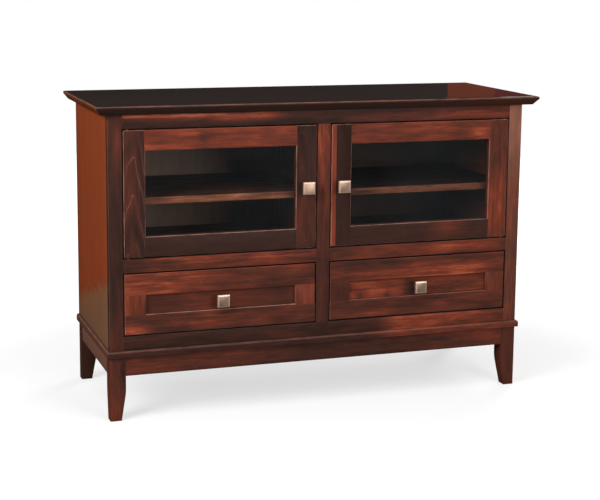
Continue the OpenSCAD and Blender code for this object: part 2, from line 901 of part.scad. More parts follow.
module front_rail_bars() {
    for (bar = [[front_z0, 1, front_bottom_rail_w], [front_z1, -1, front_top_rail_w]])
        along_x(leaf_x0, leaf_x1)
            polygon([for (p = front_section(bar[2])) [y_front + p.y, bar[0] + bar[1] * p.x]]);
}

module front_stile_bars() {
    for (bar = [[leaf_x0, 1], [leaf_x1, -1]])
        along_z(panel_z0 - groove_d, panel_z1 + groove_d)
            polygon([for (p = front_section(front_stile_w)) [bar[0] + bar[1] * p.x, y_front + p.y]]);
}

module drawer_front_rails(side) {
    color(stain) on_side(side) intersection() {
        front_blank(front_z0, front_z1);
        front_rail_bars();
    }
}

module drawer_front_stiles(side) {
    color(stain) on_side(side) difference() {
        intersection() {
            front_blank(front_z0, front_z1);
            front_stile_bars();
        }
        front_rail_bars();
    }
}

module drawer_front_panel(side) {
    grip = groove_d - pane_play;
    y0 = y_front + panel_recess;
    color(stain) on_side(side) difference() {
        slab([panel_x0 - grip, y0, panel_z0 - grip],
            [panel_x1 + grip, y0 + front_panel_t, panel_z1 + grip]);
        bolt_hole(drawer_knob_x, drawer_knob_z, frame_t);
    }
}

// Drawer box: through dovetails, tails on the sides and pins on the ends

// One tail in the Y-Z plane, wide at the end y and narrow at its shoulder
function tail(y, way, i) =
    let (mid = box_z0 + (i + 0.5) * tail_pitch)
    let (wide = tail_pitch * tail_share / 2)
    let (narrow = wide - box_t / tail_slope)
    let (shoulder = y + way * box_t)
        [[y, mid - wide], [y, mid + wide], [shoulder, mid + narrow], [shoulder, mid - narrow]];

module tails(x0) {
    along_x(x0, x0 + box_t) for (i = [0:tail_count - 1]) {
        polygon(tail(box_y0, 1, i));
        polygon(tail(box_y1, -1, i));
    }
}

module box_bottom_board() {
    in = box_t - box_groove_d;
    slab([box_x0 + in, box_y0 + in, box_z0 + box_bottom_up],
        [box_x1 - in, box_y1 - in, box_z0 + box_bottom_up + box_bottom_t]);
}

module drawer_box_sides(side) {
    color(drawer_wood) on_side(side) difference() {
        for (x = [box_x0, box_x1 - box_t]) {
            slab([x, box_y0 + box_t, box_z0], [x + box_t, box_y1 - box_t, box_z1]);
            tails(x);
        }
        box_bottom_board();
    }
}

module drawer_box_ends(side) {
    color(drawer_wood) on_side(side) difference() {
        for (y = [box_y0, box_y1 - box_t]) slab([box_x0, y, box_z0], [box_x1, y + box_t, box_z1]);
        tails(box_x0);
        tails(box_x1 - box_t);
        box_bottom_board();
        bolt_hole(drawer_knob_x, drawer_knob_z, frame_t + box_t + over_cut);
    }
}

module drawer_box_bottom(side) { color(drawer_wood) on_side(side) box_bottom_board(); }

// Slides: three nested channels at each side of a drawer

// Channel from u0 to u1 across the slide, h high; its web is at u0, or at u1 when turned
function channel(u0, u1, h, turned) =
    let (web = turned ? u1 : u0)
    let (lip = turned ? u0 : u1)
    let (in = web + (turned ? -1 : 1) * slide_wall)
    let (top = h / 2)
        [
            [web, -top], [lip, -top], [lip, slide_wall - top], [in, slide_wall - top],
            [in, top - slide_wall], [lip, top - slide_wall], [lip, top], [web, top]
        ];

// The same channel at both sides of the right-hand drawer
module channel_pair(u0, u1, h, turned) {
    for (end = [[open_x0, 1], [open_x1, -1]])
        along_y(slide_y0, slide_y1)
            polygon([for (p = channel(u0, u1, h, turned)) [end[0] + end[1] * p.x, slide_z + p.y]]);
}

slide_step = slide_wall + slide_play;

module slide_cabinet_members() {
    color(steel) both_sides() channel_pair(0, slide_t - 2 * slide_step, slide_h, false);
}

module slide_intermediates(side) {
    color(steel) on_side(side)
        channel_pair(slide_step, slide_t - slide_step, slide_h - 2 * slide_step, false);
}

module drawer_slide_members(side) {
    color(steel) on_side(side)
        channel_pair(2 * slide_step, slide_t, slide_h - 4 * slide_step, true);
}

// Blocks that bring the slides level with the openings' edges
module slide_spacers() {
    color(inside) both_sides() {
        slab([x_mid, y_frame, slide_z - slide_h / 2], [open_x0, slide_y1, slide_z + slide_h / 2]);
        slab([open_x1, y_frame, slide_z - slide_h / 2], [x_in, slide_y1, slide_z + slide_h / 2]);
    }
}

top_panel();
side_panel(-1);  // side_panel_left
side_panel(1);  // side_panel_right
centre_partition();
case_bottom();
cupboard_floors();
back_panels();
top_cleats();
frame_stiles_outer();
frame_stile_centre();
frame_rail_top();
frame_rails_middle();
frame_rail_bottom();
shelves();
shelf_supports();
leg(-1, false);  // leg_front_left
leg(1, false);  // leg_front_right
leg(-1, true);  // leg_back_left
leg(1, true);  // leg_back_right
apron_across(false);  // apron_front
apron_across(true);  // apron_back
aprons_side();
base_moulding();
corner_blocks();
hinge_case_leaves();
door_catches();
slide_spacers();
slide_cabinet_members();
door_stiles(-1);  // door_left_stiles
door_rails(-1);  // door_left_rails
door_glass(-1);  // door_left_glass
door_beads(-1);  // door_left_beads
door_hinge_leaves(-1);  // door_left_hinge_leaves
door_strike(-1);  // door_left_strike
door_knob(-1);  // door_left_knob
door_stiles(1);  // door_right_stiles
door_rails(1);  // door_right_rails
door_glass(1);  // door_right_glass
door_beads(1);  // door_right_beads
door_hinge_leaves(1);  // door_right_hinge_leaves
door_strike(1);  // door_right_strike
door_knob(1);  // door_right_knob
drawer_front_rails(-1);  // drawer_left_front_rails
drawer_front_stiles(-1);  // drawer_left_front_stiles
drawer_front_panel(-1);  // drawer_left_front_panel
drawer_box_sides(-1);  // drawer_left_box_sides
drawer_box_ends(-1);  // drawer_left_box_ends
drawer_box_bottom(-1);  // drawer_left_box_bottom
drawer_slide_members(-1);  // drawer_left_slide_members
drawer_knob(-1);  // drawer_left_knob
slide_intermediates(-1);  // slide_left_intermediates
drawer_front_rails(1);  // drawer_right_front_rails
drawer_front_stiles(1);  // drawer_right_front_stiles
drawer_front_panel(1);  // drawer_right_front_panel
drawer_box_sides(1);  // drawer_right_box_sides
drawer_box_ends(1);  // drawer_right_box_ends
drawer_box_bottom(1);  // drawer_right_box_bottom
drawer_slide_members(1);  // drawer_right_slide_members
drawer_knob(1);  // drawer_right_knob
slide_intermediates(1);  // slide_right_intermediates
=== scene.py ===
import json
import math
import random

import bpy
from mathutils import Matrix, Vector

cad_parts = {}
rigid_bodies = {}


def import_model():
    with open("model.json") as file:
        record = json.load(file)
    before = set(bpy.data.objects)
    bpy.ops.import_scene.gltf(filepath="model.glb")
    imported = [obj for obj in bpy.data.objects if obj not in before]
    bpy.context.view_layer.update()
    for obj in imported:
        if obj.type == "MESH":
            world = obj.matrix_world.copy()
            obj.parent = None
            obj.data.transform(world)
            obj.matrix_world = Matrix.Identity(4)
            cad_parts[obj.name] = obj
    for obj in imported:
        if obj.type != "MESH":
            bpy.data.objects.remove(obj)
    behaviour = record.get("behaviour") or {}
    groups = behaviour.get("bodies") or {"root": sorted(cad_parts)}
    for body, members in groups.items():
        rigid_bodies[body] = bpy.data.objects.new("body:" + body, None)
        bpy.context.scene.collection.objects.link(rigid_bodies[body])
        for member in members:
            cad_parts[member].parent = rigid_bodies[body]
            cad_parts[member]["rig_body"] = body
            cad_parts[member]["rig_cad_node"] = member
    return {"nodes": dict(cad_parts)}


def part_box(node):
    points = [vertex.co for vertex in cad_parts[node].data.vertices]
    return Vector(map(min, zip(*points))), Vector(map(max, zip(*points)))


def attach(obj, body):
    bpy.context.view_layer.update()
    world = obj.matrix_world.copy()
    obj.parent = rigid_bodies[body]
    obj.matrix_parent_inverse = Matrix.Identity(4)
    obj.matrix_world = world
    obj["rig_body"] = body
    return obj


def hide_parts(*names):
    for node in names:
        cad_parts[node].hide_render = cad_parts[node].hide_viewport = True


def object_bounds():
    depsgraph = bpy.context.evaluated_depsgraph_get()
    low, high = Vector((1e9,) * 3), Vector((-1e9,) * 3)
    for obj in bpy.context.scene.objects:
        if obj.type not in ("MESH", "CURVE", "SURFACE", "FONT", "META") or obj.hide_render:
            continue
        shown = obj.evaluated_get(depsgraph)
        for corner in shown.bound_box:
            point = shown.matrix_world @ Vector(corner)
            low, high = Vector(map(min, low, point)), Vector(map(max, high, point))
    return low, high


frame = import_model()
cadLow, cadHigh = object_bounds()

nodes = frame["nodes"]
scene = bpy.context.scene
scene.view_settings.view_transform = "Standard"
mm = 0.001


# Small helpers for all the pieces

def clearSelection():
    if bpy.context.mode != "OBJECT":
        bpy.ops.object.mode_set(mode="OBJECT")
    bpy.ops.object.select_all(action="DESELECT")


def pickPiece(piece):
    clearSelection()
    piece.select_set(True)
    bpy.context.view_layer.objects.active = piece


def applyModifier(piece, kind, **settings):
    pickPiece(piece)
    modifier = piece.modifiers.new(kind.title(), kind)
    for name, value in settings.items():
        setattr(modifier, name, value)
    bpy.ops.object.modifier_apply(modifier=modifier.name)


def settlePlace(piece):  # the place goes into the mesh, and the object stays at the origin
    pickPiece(piece)
    bpy.ops.object.transform_apply(location=True, rotation=True, scale=True)


def pickFaces(piece, wanted):  # leaves edit mode on, with the wanted faces selected
    pickPiece(piece)
    bpy.ops.object.mode_set(mode="EDIT")
    bpy.ops.mesh.select_mode(type="FACE")
    bpy.ops.mesh.select_all(action="DESELECT")
    bpy.ops.object.mode_set(mode="OBJECT")
    for face in piece.data.polygons:
        face.select = wanted(face)
    bpy.ops.object.mode_set(mode="EDIT")


def twinOf(piece, spot, outward):  # a copy with its own mesh, its +Z turned to point outward
    twin = piece.copy()
    twin.data = piece.data.copy()
    scene.collection.objects.link(twin)
    twin.location = spot
    twin.rotation_euler = Vector(outward).to_track_quat("Z", "Y").to_euler()
    settlePlace(twin)
    return twin


def joinPieces(pieces, name):
    clearSelection()
    for piece in pieces:
        piece.select_set(True)
    bpy.context.view_layer.objects.active = pieces[0]
    bpy.ops.object.join()
    pieces[0].name = name
    pieces[0].data.name = name
    return pieces[0]


def cutAway(piece, cutter):
    applyModifier(piece, "BOOLEAN", operation="DIFFERENCE", object=cutter, solver="EXACT")
    bpy.data.objects.remove(cutter)


def paint(piece, material):
    piece.data.materials.clear()
    piece.data.materials.append(material)


def colour(red, green, blue):  # screen values 0 to 255, as read off a swatch
    def linear(value):
        share = value / 255
        return share / 12.92 if share <= 0.04045 else ((share + 0.055) / 1.055) ** 2.4
    return (linear(red), linear(green), linear(blue), 1.0)


# Camera

cameraPlace = {
    "spot": (-1.3083, -3.7891, 1.1997),
    "yaw": 19.0768,  # degrees to the right of straight ahead
    "pitch": 9.5057,  # degrees down
    "roll": 0.5538,
    "lens": 86.83,
    "sensorWidth": 36,
    "shiftUp": -0.0833,  # share of the sensor's width
}


def aimCamera(place):
    yaw, pitch, roll = (math.radians(place[key]) for key in ("yaw", "pitch", "roll"))
    ahead = Vector((math.sin(yaw) * math.cos(pitch), math.cos(yaw) * math.cos(pitch), -math.sin(pitch)))
    flatRight = Vector((math.cos(yaw), -math.sin(yaw), 0))
    flatUp = flatRight.cross(ahead)
    right = flatRight * math.cos(roll) + flatUp * math.sin(roll)
    up = flatUp * math.cos(roll) - flatRight * math.sin(roll)
    data = bpy.data.cameras.new("photoCamera")
    camera = bpy.data.objects.new("photoCamera", data)
    scene.collection.objects.link(camera)
    turn = Matrix((right, up, -ahead)).transposed().to_4x4()
    camera.matrix_world = Matrix.Translation(place["spot"]) @ turn
    data.sensor_width = place["sensorWidth"]
    data.lens = place["lens"]
    data.shift_y = place["shiftUp"]
    scene.camera = camera


aimCamera(cameraPlace)
print("camera aimed")


# Node building

def fillInputs(tree, node, inputs):  # a socket is linked, and any other value is set
    for key, value in inputs.items():
        if isinstance(value, bpy.types.NodeSocket):
            tree.links.new(value, node.inputs[key])
        else:
            node.inputs[key].default_value = value


def addNode(tree, kind, inputs, **settings):
    node = tree.nodes.new(kind)
    for name, value in settings.items():
        setattr(node, name, value)
    fillInputs(tree, node, inputs)
    return node


def objectPlace(tree):
    return addNode(tree, "ShaderNodeTexCoord", {}).outputs["Object"]


def attributeOf(tree, name, output):
    return addNode(tree, "ShaderNodeAttribute", {}, attribute_name=name).outputs[output]


def placeGroup(tree, group, inputs):
    node = tree.nodes.new("ShaderNodeGroup")
    node.node_tree = group
    fillInputs(tree, node, inputs)
    return node.outputs


def maths(tree, operation, first, second, third=0.0):
    node = addNode(tree, "ShaderNodeMath", {0: first, 1: second, 2: third}, operation=operation)
    return node.outputs[0]


def spread(tree, value, low, high, toLow=0.0, toHigh=1.0):
    node = addNode(tree, "ShaderNodeMapRange",
                   {"Value": value, "From Min": low, "From Max": high, "To Min": toLow, "To Max": toHigh})
    return node.outputs[0]


def stretched(tree, vector, scale):
    return addNode(tree, "ShaderNodeVectorMath", {0: vector, 1: scale}, operation="MULTIPLY").outputs[0]


def noiseOn(tree, vector, scale, detail, roughness):  # scale: cells per metre on each axis
    node = addNode(tree, "ShaderNodeTexNoise",
                   {"Vector": stretched(tree, vector, scale), "Scale": 1.0, "Detail": detail,
                    "Roughness": roughness})
    return node.outputs["Fac"]


def rampOf(tree, value, stops):
    node = addNode(tree, "ShaderNodeValToRGB", {"Fac": value})
    ramp = node.color_ramp
    while len(ramp.elements) < len(stops):
        ramp.elements.new(0.5)
    for element, (place, shade) in zip(ramp.elements, stops):
        element.position = place
        element.color = shade
    return node.outputs["Color"]


def blend(tree, share, first, second):  # sockets 0, 6 and 7 of a colour mix are its share and colours
    mix = addNode(tree, "ShaderNodeMix", {0: share, 6: first, 7: second}, data_type="RGBA")
    return mix.outputs[2]


def newGroup(name, vectors, numbers, outputs):  # numbers: names and their usual values
    group = bpy.data.node_groups.new(name, "ShaderNodeTree")
    for label in vectors:
        group.interface.new_socket(name=label, in_out="INPUT", socket_type="NodeSocketVector")
    for label, value in numbers.items():
        socket = group.interface.new_socket(name=label, in_out="INPUT", socket_type="NodeSocketFloat")
        socket.default_value = value
    for label in outputs:
        group.interface.new_socket(name=label, in_out="OUTPUT", socket_type="NodeSocketFloat")
    return group, group.nodes.new("NodeGroupInput").outputs, group.nodes.new("NodeGroupOutput")


def newMaterial(name):
    material = bpy.data.materials.new(name)
    material.use_nodes = True
    tree = material.node_tree
    shader = tree.nodes["Principled BSDF"]
    return material, tree, shader


def bumpOf(tree, height, strength, distance):
    bump = addNode(tree, "ShaderNodeBump", {"Height": height, "Strength": strength, "Distance": distance})
    return bump.outputs[0]


def greyOf(level):
    return (level, level, level, 1.0)


def scaledColour(shade, share):
    return tuple(min(1.0, value * share) for value in shade[:3]) + (1.0,)


# The grain that all the wood shares

grainSizes = {  # noise cells per metre along, across and through a board
    "bend": (11, 24, 24), "clouds": (7, 26, 26), "blotches": (13, 75, 75), "streaks": (5, 210, 210),
    "fibres": (70, 2400, 2400), "waver": (5, 34, 34), "lineGaps": (6, 34, 34), "highlightGaps": (24, 90, 90),
}
grainLook = {
    "bendReach": (0.03, 0.007, 0.007),  # metres
    "archShift": 0.006, "archCurve": 110.0, "waverReach": 0.16, "lineWidth": 0.022,
    "cloudShare": 1.1, "blotchShare": 1.5, "liveliness": 1.9, "bandShare": 0.12, "fibreShare": 0.05,
    "bump": (0.2, 0.0001),  # strength and distance
}


def centred(tree, value):
    return maths(tree, "SUBTRACT", value, 0.5)


def bentPlace(tree, place):  # the grain never runs quite straight
    bend = addNode(tree, "ShaderNodeTexNoise", {"Vector": stretched(tree, place, grainSizes["bend"]),
                                                "Scale": 1.0, "Detail": 1.0}).outputs["Color"]
    reach = stretched(tree, bend, grainLook["bendReach"])
    return addNode(tree, "ShaderNodeVectorMath", {0: place, 1: reach}, operation="ADD").outputs[0]


def archedLines(tree, place, given):  # the pale arched lines of a flat-sawn board, and its soft bands
    offCentre = maths(tree, "ADD", given["Across"], grainLook["archShift"])
    arch = maths(tree, "MULTIPLY", maths(tree, "MULTIPLY", offCentre, offCentre), grainLook["archCurve"])
    along = addNode(tree, "ShaderNodeSeparateXYZ", {0: place}).outputs["X"]
    waver = noiseOn(tree, place, grainSizes["waver"], 2, 0.5)
    waver = maths(tree, "MULTIPLY", waver, grainLook["waverReach"])
    field = maths(tree, "ADD", maths(tree, "ADD", along, arch), waver)
    folded = maths(tree, "PINGPONG", maths(tree, "MULTIPLY", field, given["Line Count"]), 0.5)
    lines = spread(tree, folded, 0.5 - grainLook["lineWidth"], 0.5)
    bands = spread(tree, folded, 0.0, 0.5)
    where = spread(tree, noiseOn(tree, place, grainSizes["lineGaps"], 2, 0.5), 0.4, 0.6)
    lines = maths(tree, "MULTIPLY", maths(tree, "MULTIPLY", lines, where), given["Figure"])
    bands = maths(tree, "MULTIPLY", centred(tree, bands), given["Figure"])
    return lines, bands


def makeGrainGroup():
    group, given, end = newGroup(
        "woodGrain", ["Place"],
        {"Tone": 0.5, "Contrast": 0.5, "Edge Highlight": 0.0, "Figure": 0.5, "Across": 0.0, "Line Count": 9.0,
         "Streak Strength": 1.0}, ["Shade", "Lines And Highlights", "Height", "Gloss"])
    place = bentPlace(group, given["Place"])
    clouds = noiseOn(group, place, grainSizes["clouds"], 2, 0.5)
    blotches = noiseOn(group, place, grainSizes["blotches"], 4, 0.62)
    streaks = noiseOn(group, place, grainSizes["streaks"], 4, 0.76)
    fibres = noiseOn(group, place, grainSizes["fibres"], 2, 0.6)
    lines, bands = archedLines(group, place, given)
    mottle = maths(group, "MULTIPLY", centred(group, blotches), grainLook["blotchShare"])
    mottle = maths(group, "MULTIPLY_ADD", centred(group, clouds), grainLook["cloudShare"], mottle)
    mottle = maths(group, "MULTIPLY_ADD", centred(group, streaks), given["Streak Strength"], mottle)
    liveliness = maths(group, "MULTIPLY", given["Tone"], grainLook["liveliness"])
    liveliness = maths(group, "MULTIPLY", liveliness, given["Contrast"])  # dark boards are calm
    shade = maths(group, "MULTIPLY_ADD", mottle, liveliness, given["Tone"])
    shade = maths(group, "MULTIPLY_ADD", bands, grainLook["bandShare"], shade)
    shade = maths(group, "MULTIPLY_ADD", centred(group, fibres), grainLook["fibreShare"], shade)
    # painted highlight: pale lines on the edges where they catch the light, broken up along their length
    broken = spread(group, noiseOn(group, place, grainSizes["highlightGaps"], 3, 0.6), 0.35, 0.65, 0.3, 1.0)
    edgeHighlight = maths(group, "MULTIPLY", given["Edge Highlight"], broken)
    halfStreaks = maths(group, "MULTIPLY", streaks, 0.5)
    fillInputs(group, end, {
        "Shade": shade, "Lines And Highlights": maths(group, "MAXIMUM", edgeHighlight, lines),
        "Height": maths(group, "ADD", halfStreaks, fibres),
        "Gloss": maths(group, "MULTIPLY_ADD", blotches, 0.5, halfStreaks)})
    return group


grainGroup = makeGrainGroup()

# Stops: places from 0 to 1 and their colours, dark to bright. Grain: line count, streak strength, share of
# the pale colour, which paints the grain's pale lines and painted highlights on the edges. The greyish wash
# colour paints sheen. Rough: from and to.
woodFinishes = {
    "frontStain": {
        "slot": "stained_wood",
        "stops": [(0.0, colour(22, 14, 13)), (0.22, colour(56, 37, 32)), (0.42, colour(84, 45, 35)),
                  (0.62, colour(114, 54, 39)), (0.82, colour(148, 72, 48)), (1.0, colour(182, 102, 72))],
        "grain": (9.0, 1.25, 0.5), "paleLinesAndHighlights": colour(172, 126, 110), "sheenWash": colour(150, 108, 90),
        "rough": (0.36, 0.48), "coat": 0.06, "coatRough": 0.28,
    },
    "topStain": {
        "slot": "top_wood",
        "stops": [(0.0, colour(30, 24, 22)), (0.3, colour(44, 34, 31)), (0.6, colour(74, 40, 27)),
                  (1.0, colour(118, 56, 30))],
        "grain": (9.0, 1.0, 0.6), "paleLinesAndHighlights": colour(142, 96, 80), "sheenWash": colour(120, 80, 66),
        "rough": (0.36, 0.46), "coat": 0.06, "coatRough": 0.05,
    },
    "sideStain": {
        "slot": "side_wood",
        # the olive stops at 0.38 and 0.5 paint the floor's reflection on the left side
        "stops": [(0.0, colour(36, 20, 20)), (0.26, colour(62, 32, 28)), (0.38, colour(106, 76, 57)),
                  (0.5, colour(114, 75, 52)), (0.62, colour(122, 56, 31)), (1.0, colour(140, 68, 37))],
        "grain": (8.0, 1.2, 0.1), "paleLinesAndHighlights": colour(150, 96, 72), "sheenWash": colour(130, 90, 66),
        "rough": (0.40, 0.50), "coat": 0.02, "coatRough": 0.24,
    },
    "insideStain": {
        "slot": "inside_wood",
        "stops": [(0.0, colour(20, 15, 14)), (0.4, colour(36, 25, 22)), (0.75, colour(74, 38, 31)),
                  (1.0, colour(106, 54, 42))],
        "grain": (14.0, 1.0, 0.2), "paleLinesAndHighlights": colour(100, 66, 54), "sheenWash": colour(80, 60, 52),
        "rough": (0.5, 0.62), "coat": 0.0, "coatRough": 0.3,
    },
    "shelfStain": {
        "slot": "shelf_wood",
        "stops": [(0.0, colour(22, 17, 16)), (0.3, colour(60, 34, 27)), (0.65, colour(124, 70, 50)),
                  (1.0, colour(178, 108, 82))],
        "grain": (16.0, 1.4, 0.3), "paleLinesAndHighlights": colour(200, 152, 124), "sheenWash": colour(150, 108, 90),
        "rough": (0.4, 0.5), "coat": 0.04, "coatRough": 0.25,
    },
    "backVeneer": {
        "slot": "back_ply",
        "stops": [(0.0, colour(26, 20, 19)), (0.4, colour(46, 34, 30)), (0.75, colour(84, 60, 50)),
                  (1.0, colour(150, 118, 100))],
        "grain": (30.0, 0.8, 0.3), "paleLinesAndHighlights": colour(112, 82, 66), "sheenWash": colour(90, 68, 58),
        "rough": (0.52, 0.64), "coat": 0.0, "coatRough": 0.3,
    },
    "paleMaple": {
        "slot": "box_wood",
        "stops": [(0.0, colour(166, 122, 82)), (0.4, colour(196, 152, 108)), (0.75, colour(214, 174, 130)),
                  (1.0, colour(230, 198, 158))],
        "grain": (22.0, 1.0, 0.3), "paleLinesAndHighlights": colour(228, 198, 160), "sheenWash": colour(226, 200, 168),
        "rough": (0.42, 0.52), "coat": 0.08, "coatRough": 0.25,
    },
}


def makeWood(name, finish):
    material, tree, shader = newMaterial(name)
    mark = attributeOf(tree, "boardMark", "Vector")
    look = attributeOf(tree, "boardLook", "Vector")
    tone, contrast, edge = addNode(tree, "ShaderNodeSeparateXYZ", {0: mark}).outputs
    figure, sheenWash, across = addNode(tree, "ShaderNodeSeparateXYZ", {0: look}).outputs
    lineCount, streakStrength, paleShare = finish["grain"]
    grain = placeGroup(tree, grainGroup, {
        "Place": attributeOf(tree, "grainPlace", "Vector"), "Tone": tone, "Contrast": contrast, "Edge Highlight": edge,
        "Figure": figure, "Across": across, "Line Count": lineCount, "Streak Strength": streakStrength})
    # painted sheen: a greyish wash over the stain, standing for reflected light
    stained = blend(tree, sheenWash, rampOf(tree, grain["Shade"], finish["stops"]), finish["sheenWash"])
    paleLinesAndHighlights = maths(tree, "MULTIPLY", grain["Lines And Highlights"], paleShare)
    fillInputs(tree, shader, {
        "Base Color": blend(tree, paleLinesAndHighlights, stained, finish["paleLinesAndHighlights"]),
        "Roughness": spread(tree, grain["Gloss"], 0.35, 0.65, *finish["rough"]),
        "Normal": bumpOf(tree, grain["Height"], *grainLook["bump"]),
        "Specular IOR Level": 0.0, "Coat Weight": finish["coat"], "Coat Roughness": finish["coatRough"]})
    return material


woods = {name: makeWood(name, finish) for name, finish in woodFinishes.items()}
print("wood finishes made:", len(woods))


# Metals, glass and plastic

brushedLook = {"dark": 0.82, "metallic": 1.0, "cloudCells": (180, 180, 180), "lineShare": 0.6,
               "bump": (0.3, 0.00002)}
metalLooks = {  # cells: noise cells per metre on each axis
    "zincPlate": {"base": colour(196, 199, 204), "rough": (0.28, 0.40), "lineCells": (900, 40, 900)},
    "plainBrass": {"base": colour(112, 84, 50), "rough": (0.36, 0.48), "lineCells": (60, 900, 900)},
}
glassLook = {
    "tint": colour(236, 246, 242), "smearAndReflectionCells": (5, 5, 5), "rough": (0.0, 0.002), "ior": 1.25,
    "paintedRoomReflection": (0.0048, 0.0052, 0.0056, 1.0),  # stands for the dim room that the photo's panes mirror
    "shadowPassing": 0.9, "bump": (0.1, 0.0001),
}
plasticLook = {"base": colour(48, 34, 28), "rough": (0.45, 0.6), "specks": (900, 900, 900),
               "bump": (0.2, 0.00005)}


def makeBrushGroup():  # fine brushed lines over soft clouds
    group, given, end = newGroup("brushedMetal", ["Place", "Line Cells", "Cloud Cells"],
                                 {"Line Share": 0.6}, ["Shade", "Height"])
    lines = noiseOn(group, given["Place"], given["Line Cells"], 3, 0.6)
    clouds = noiseOn(group, given["Place"], given["Cloud Cells"], 2, 0.5)
    rest = maths(group, "MULTIPLY", clouds, maths(group, "SUBTRACT", 1.0, given["Line Share"]))
    shade = maths(group, "MULTIPLY_ADD", lines, given["Line Share"], rest)
    fillInputs(group, end, {"Shade": shade, "Height": lines})
    return group


brushGroup = makeBrushGroup()


def makeMetal(name, look):
    material, tree, shader = newMaterial(name)
    brush = placeGroup(tree, brushGroup, {
        "Place": objectPlace(tree), "Line Cells": look["lineCells"], "Cloud Cells": look["cloudCells"],
        "Line Share": look["lineShare"]})
    mask = brush["Shade"]
    shade = rampOf(tree, mask, [(0.3, scaledColour(look["base"], look["dark"])), (0.7, look["base"])])
    if "rimHighlight" in look:  # a painted highlight on the rim, on the faces that carry its mark
        shade = blend(tree, attributeOf(tree, "rimMark", "Fac"), shade, look["rimHighlight"])
    fillInputs(tree, shader, {
        "Base Color": shade, "Roughness": spread(tree, mask, 0.3, 0.7, *look["rough"]),
        "Normal": bumpOf(tree, brush["Height"], *look["bump"]), "Metallic": look["metallic"]})
    return material


def makeGlass(name, look):
    material, tree, shader = newMaterial(name)
    smearAndReflection = noiseOn(tree, objectPlace(tree), look["smearAndReflectionCells"], 2, 0.5)
    # painted reflection: a faint glow in the panes, patchy with the smears, stands for the room they mirror
    paintedRoomReflection = rampOf(tree, smearAndReflection, [(0.3, look["paintedRoomReflection"]), (0.8, scaledColour(look["paintedRoomReflection"], 0.0))])
    path = addNode(tree, "ShaderNodeLightPath", {}).outputs  # lamps and bounced light pass the panes
    passing = maths(tree, "MULTIPLY_ADD", path["Is Shadow Ray"], look["shadowPassing"],
                    path["Is Diffuse Ray"])
    passing = maths(tree, "MINIMUM", passing, 1.0)
    fillInputs(tree, shader, {
        "Base Color": look["tint"], "Roughness": spread(tree, smearAndReflection, 0.4, 0.7, *look["rough"]),
        "Emission Color": paintedRoomReflection, "Emission Strength": 1.0, "Normal": bumpOf(tree, smearAndReflection, *look["bump"]),
        "Alpha": maths(tree, "SUBTRACT", 1.0, passing), "Transmission Weight": 1.0, "IOR": look["ior"]})
    return material


def makePlastic(name, look):
    material, tree, shader = newMaterial(name)
    speck = noiseOn(tree, objectPlace(tree), look["specks"], 2, 0.6)
    fillInputs(tree, shader, {
        "Base Color": rampOf(tree, speck, [(0.35, look["base"]), (0.75, scaledColour(look["base"], 1.5))]),
        "Roughness": spread(tree, speck, 0.3, 0.7, *look["rough"]),
        "Normal": bumpOf(tree, speck, *look["bump"])})
    return material


zinc, brass = [makeMetal(name, {**brushedLook, **look}) for name, look in metalLooks.items()]
glass = makeGlass("cabinetGlass", glassLook)
plastic = makePlastic("catchBrown", plasticLook)
print("metals, glass and plastic made")


# Screws, and the countersinks that they sit in

screwShapes = {  # rings from the head's face down: radius and height in mm
    "countersunk": [(2.4, 0), (2.6, -0.15), (1.3, -1.6), (1.3, -11), (0.1, -13)],
    "sink": [(2.75, 1.0), (2.75, -0.15), (1.35, -1.7), (1.35, -8)],
    "pan": [(1.8, 0), (2.3, -0.25), (2.5, -0.6), (2.5, -1.0), (1.25, -1.0), (1.25, -9), (0.1, -11)],
    "wide": [(2.8, 0), (3.7, -0.5), (4.0, -1.1), (4.0, -1.8), (2.0, -1.8), (2.0, -20), (0.2, -23)],
}
screwSides = 20
crossRecess = {"reach": 0.62, "width": 0.24, "deep": 0.45}  # shares of the head's radius
# Places in mm: two columns and two rows on each back panel, both mirrored to the other panel
backScrews = {"below": 0.1, "sideX": (4.8, 569), "sideZ": (230, 365, 500, 635, 770),
              "rowX": (110, 230, 350, 470), "rowZ": (197, 795)}
catchScrews = {"x": 23.5, "rowY": (-163, -154), "z": 744.5}
frontScrews = {"middle": (282.5, -166.2, 306.5), "reachX": 150, "reachZ": 35}
smoothAngle = math.radians(32)


def makeTurned(rings):
    radius, height = rings[0]
    clearSelection()
    bpy.ops.mesh.primitive_circle_add(vertices=screwSides, radius=radius * mm, fill_type="NGON",
                                      location=(0, 0, height * mm))
    piece = bpy.context.object
    settlePlace(piece)
    bpy.ops.object.mode_set(mode="EDIT")
    bpy.ops.mesh.select_all(action="SELECT")
    for wider, lower in rings[1:]:
        bpy.ops.mesh.extrude_region_move(TRANSFORM_OT_translate={"value": (0, 0, (lower - height) * mm)})
        bpy.ops.transform.resize(value=(wider / radius, wider / radius, 1), center_override=(0, 0, 0))
        radius, height = wider, lower
    bpy.ops.mesh.select_all(action="SELECT")
    bpy.ops.mesh.normals_make_consistent(inside=False)
    bpy.ops.object.mode_set(mode="OBJECT")
    return piece


def makeCross(reach, width, deep):  # the cutter of a cross recess, round the origin
    clearSelection()
    bpy.ops.mesh.primitive_cube_add(size=1, scale=(width, width, deep * 2))
    cross = bpy.context.object
    settlePlace(cross)
    for side in (Vector((1, 0, 0)), Vector((-1, 0, 0)), Vector((0, 1, 0)), Vector((0, -1, 0))):
        pickFaces(cross, lambda face: face.normal.dot(side) > 0.9
                  and face.center.cross(side).length < width * 0.25)
        bpy.ops.mesh.extrude_region_move(TRANSFORM_OT_translate={"value": side * (reach - width / 2)})
        bpy.ops.object.mode_set(mode="OBJECT")
    return cross


def recessFor(radius):
    return makeCross(*(crossRecess[key] * radius for key in ("reach", "width", "deep")))


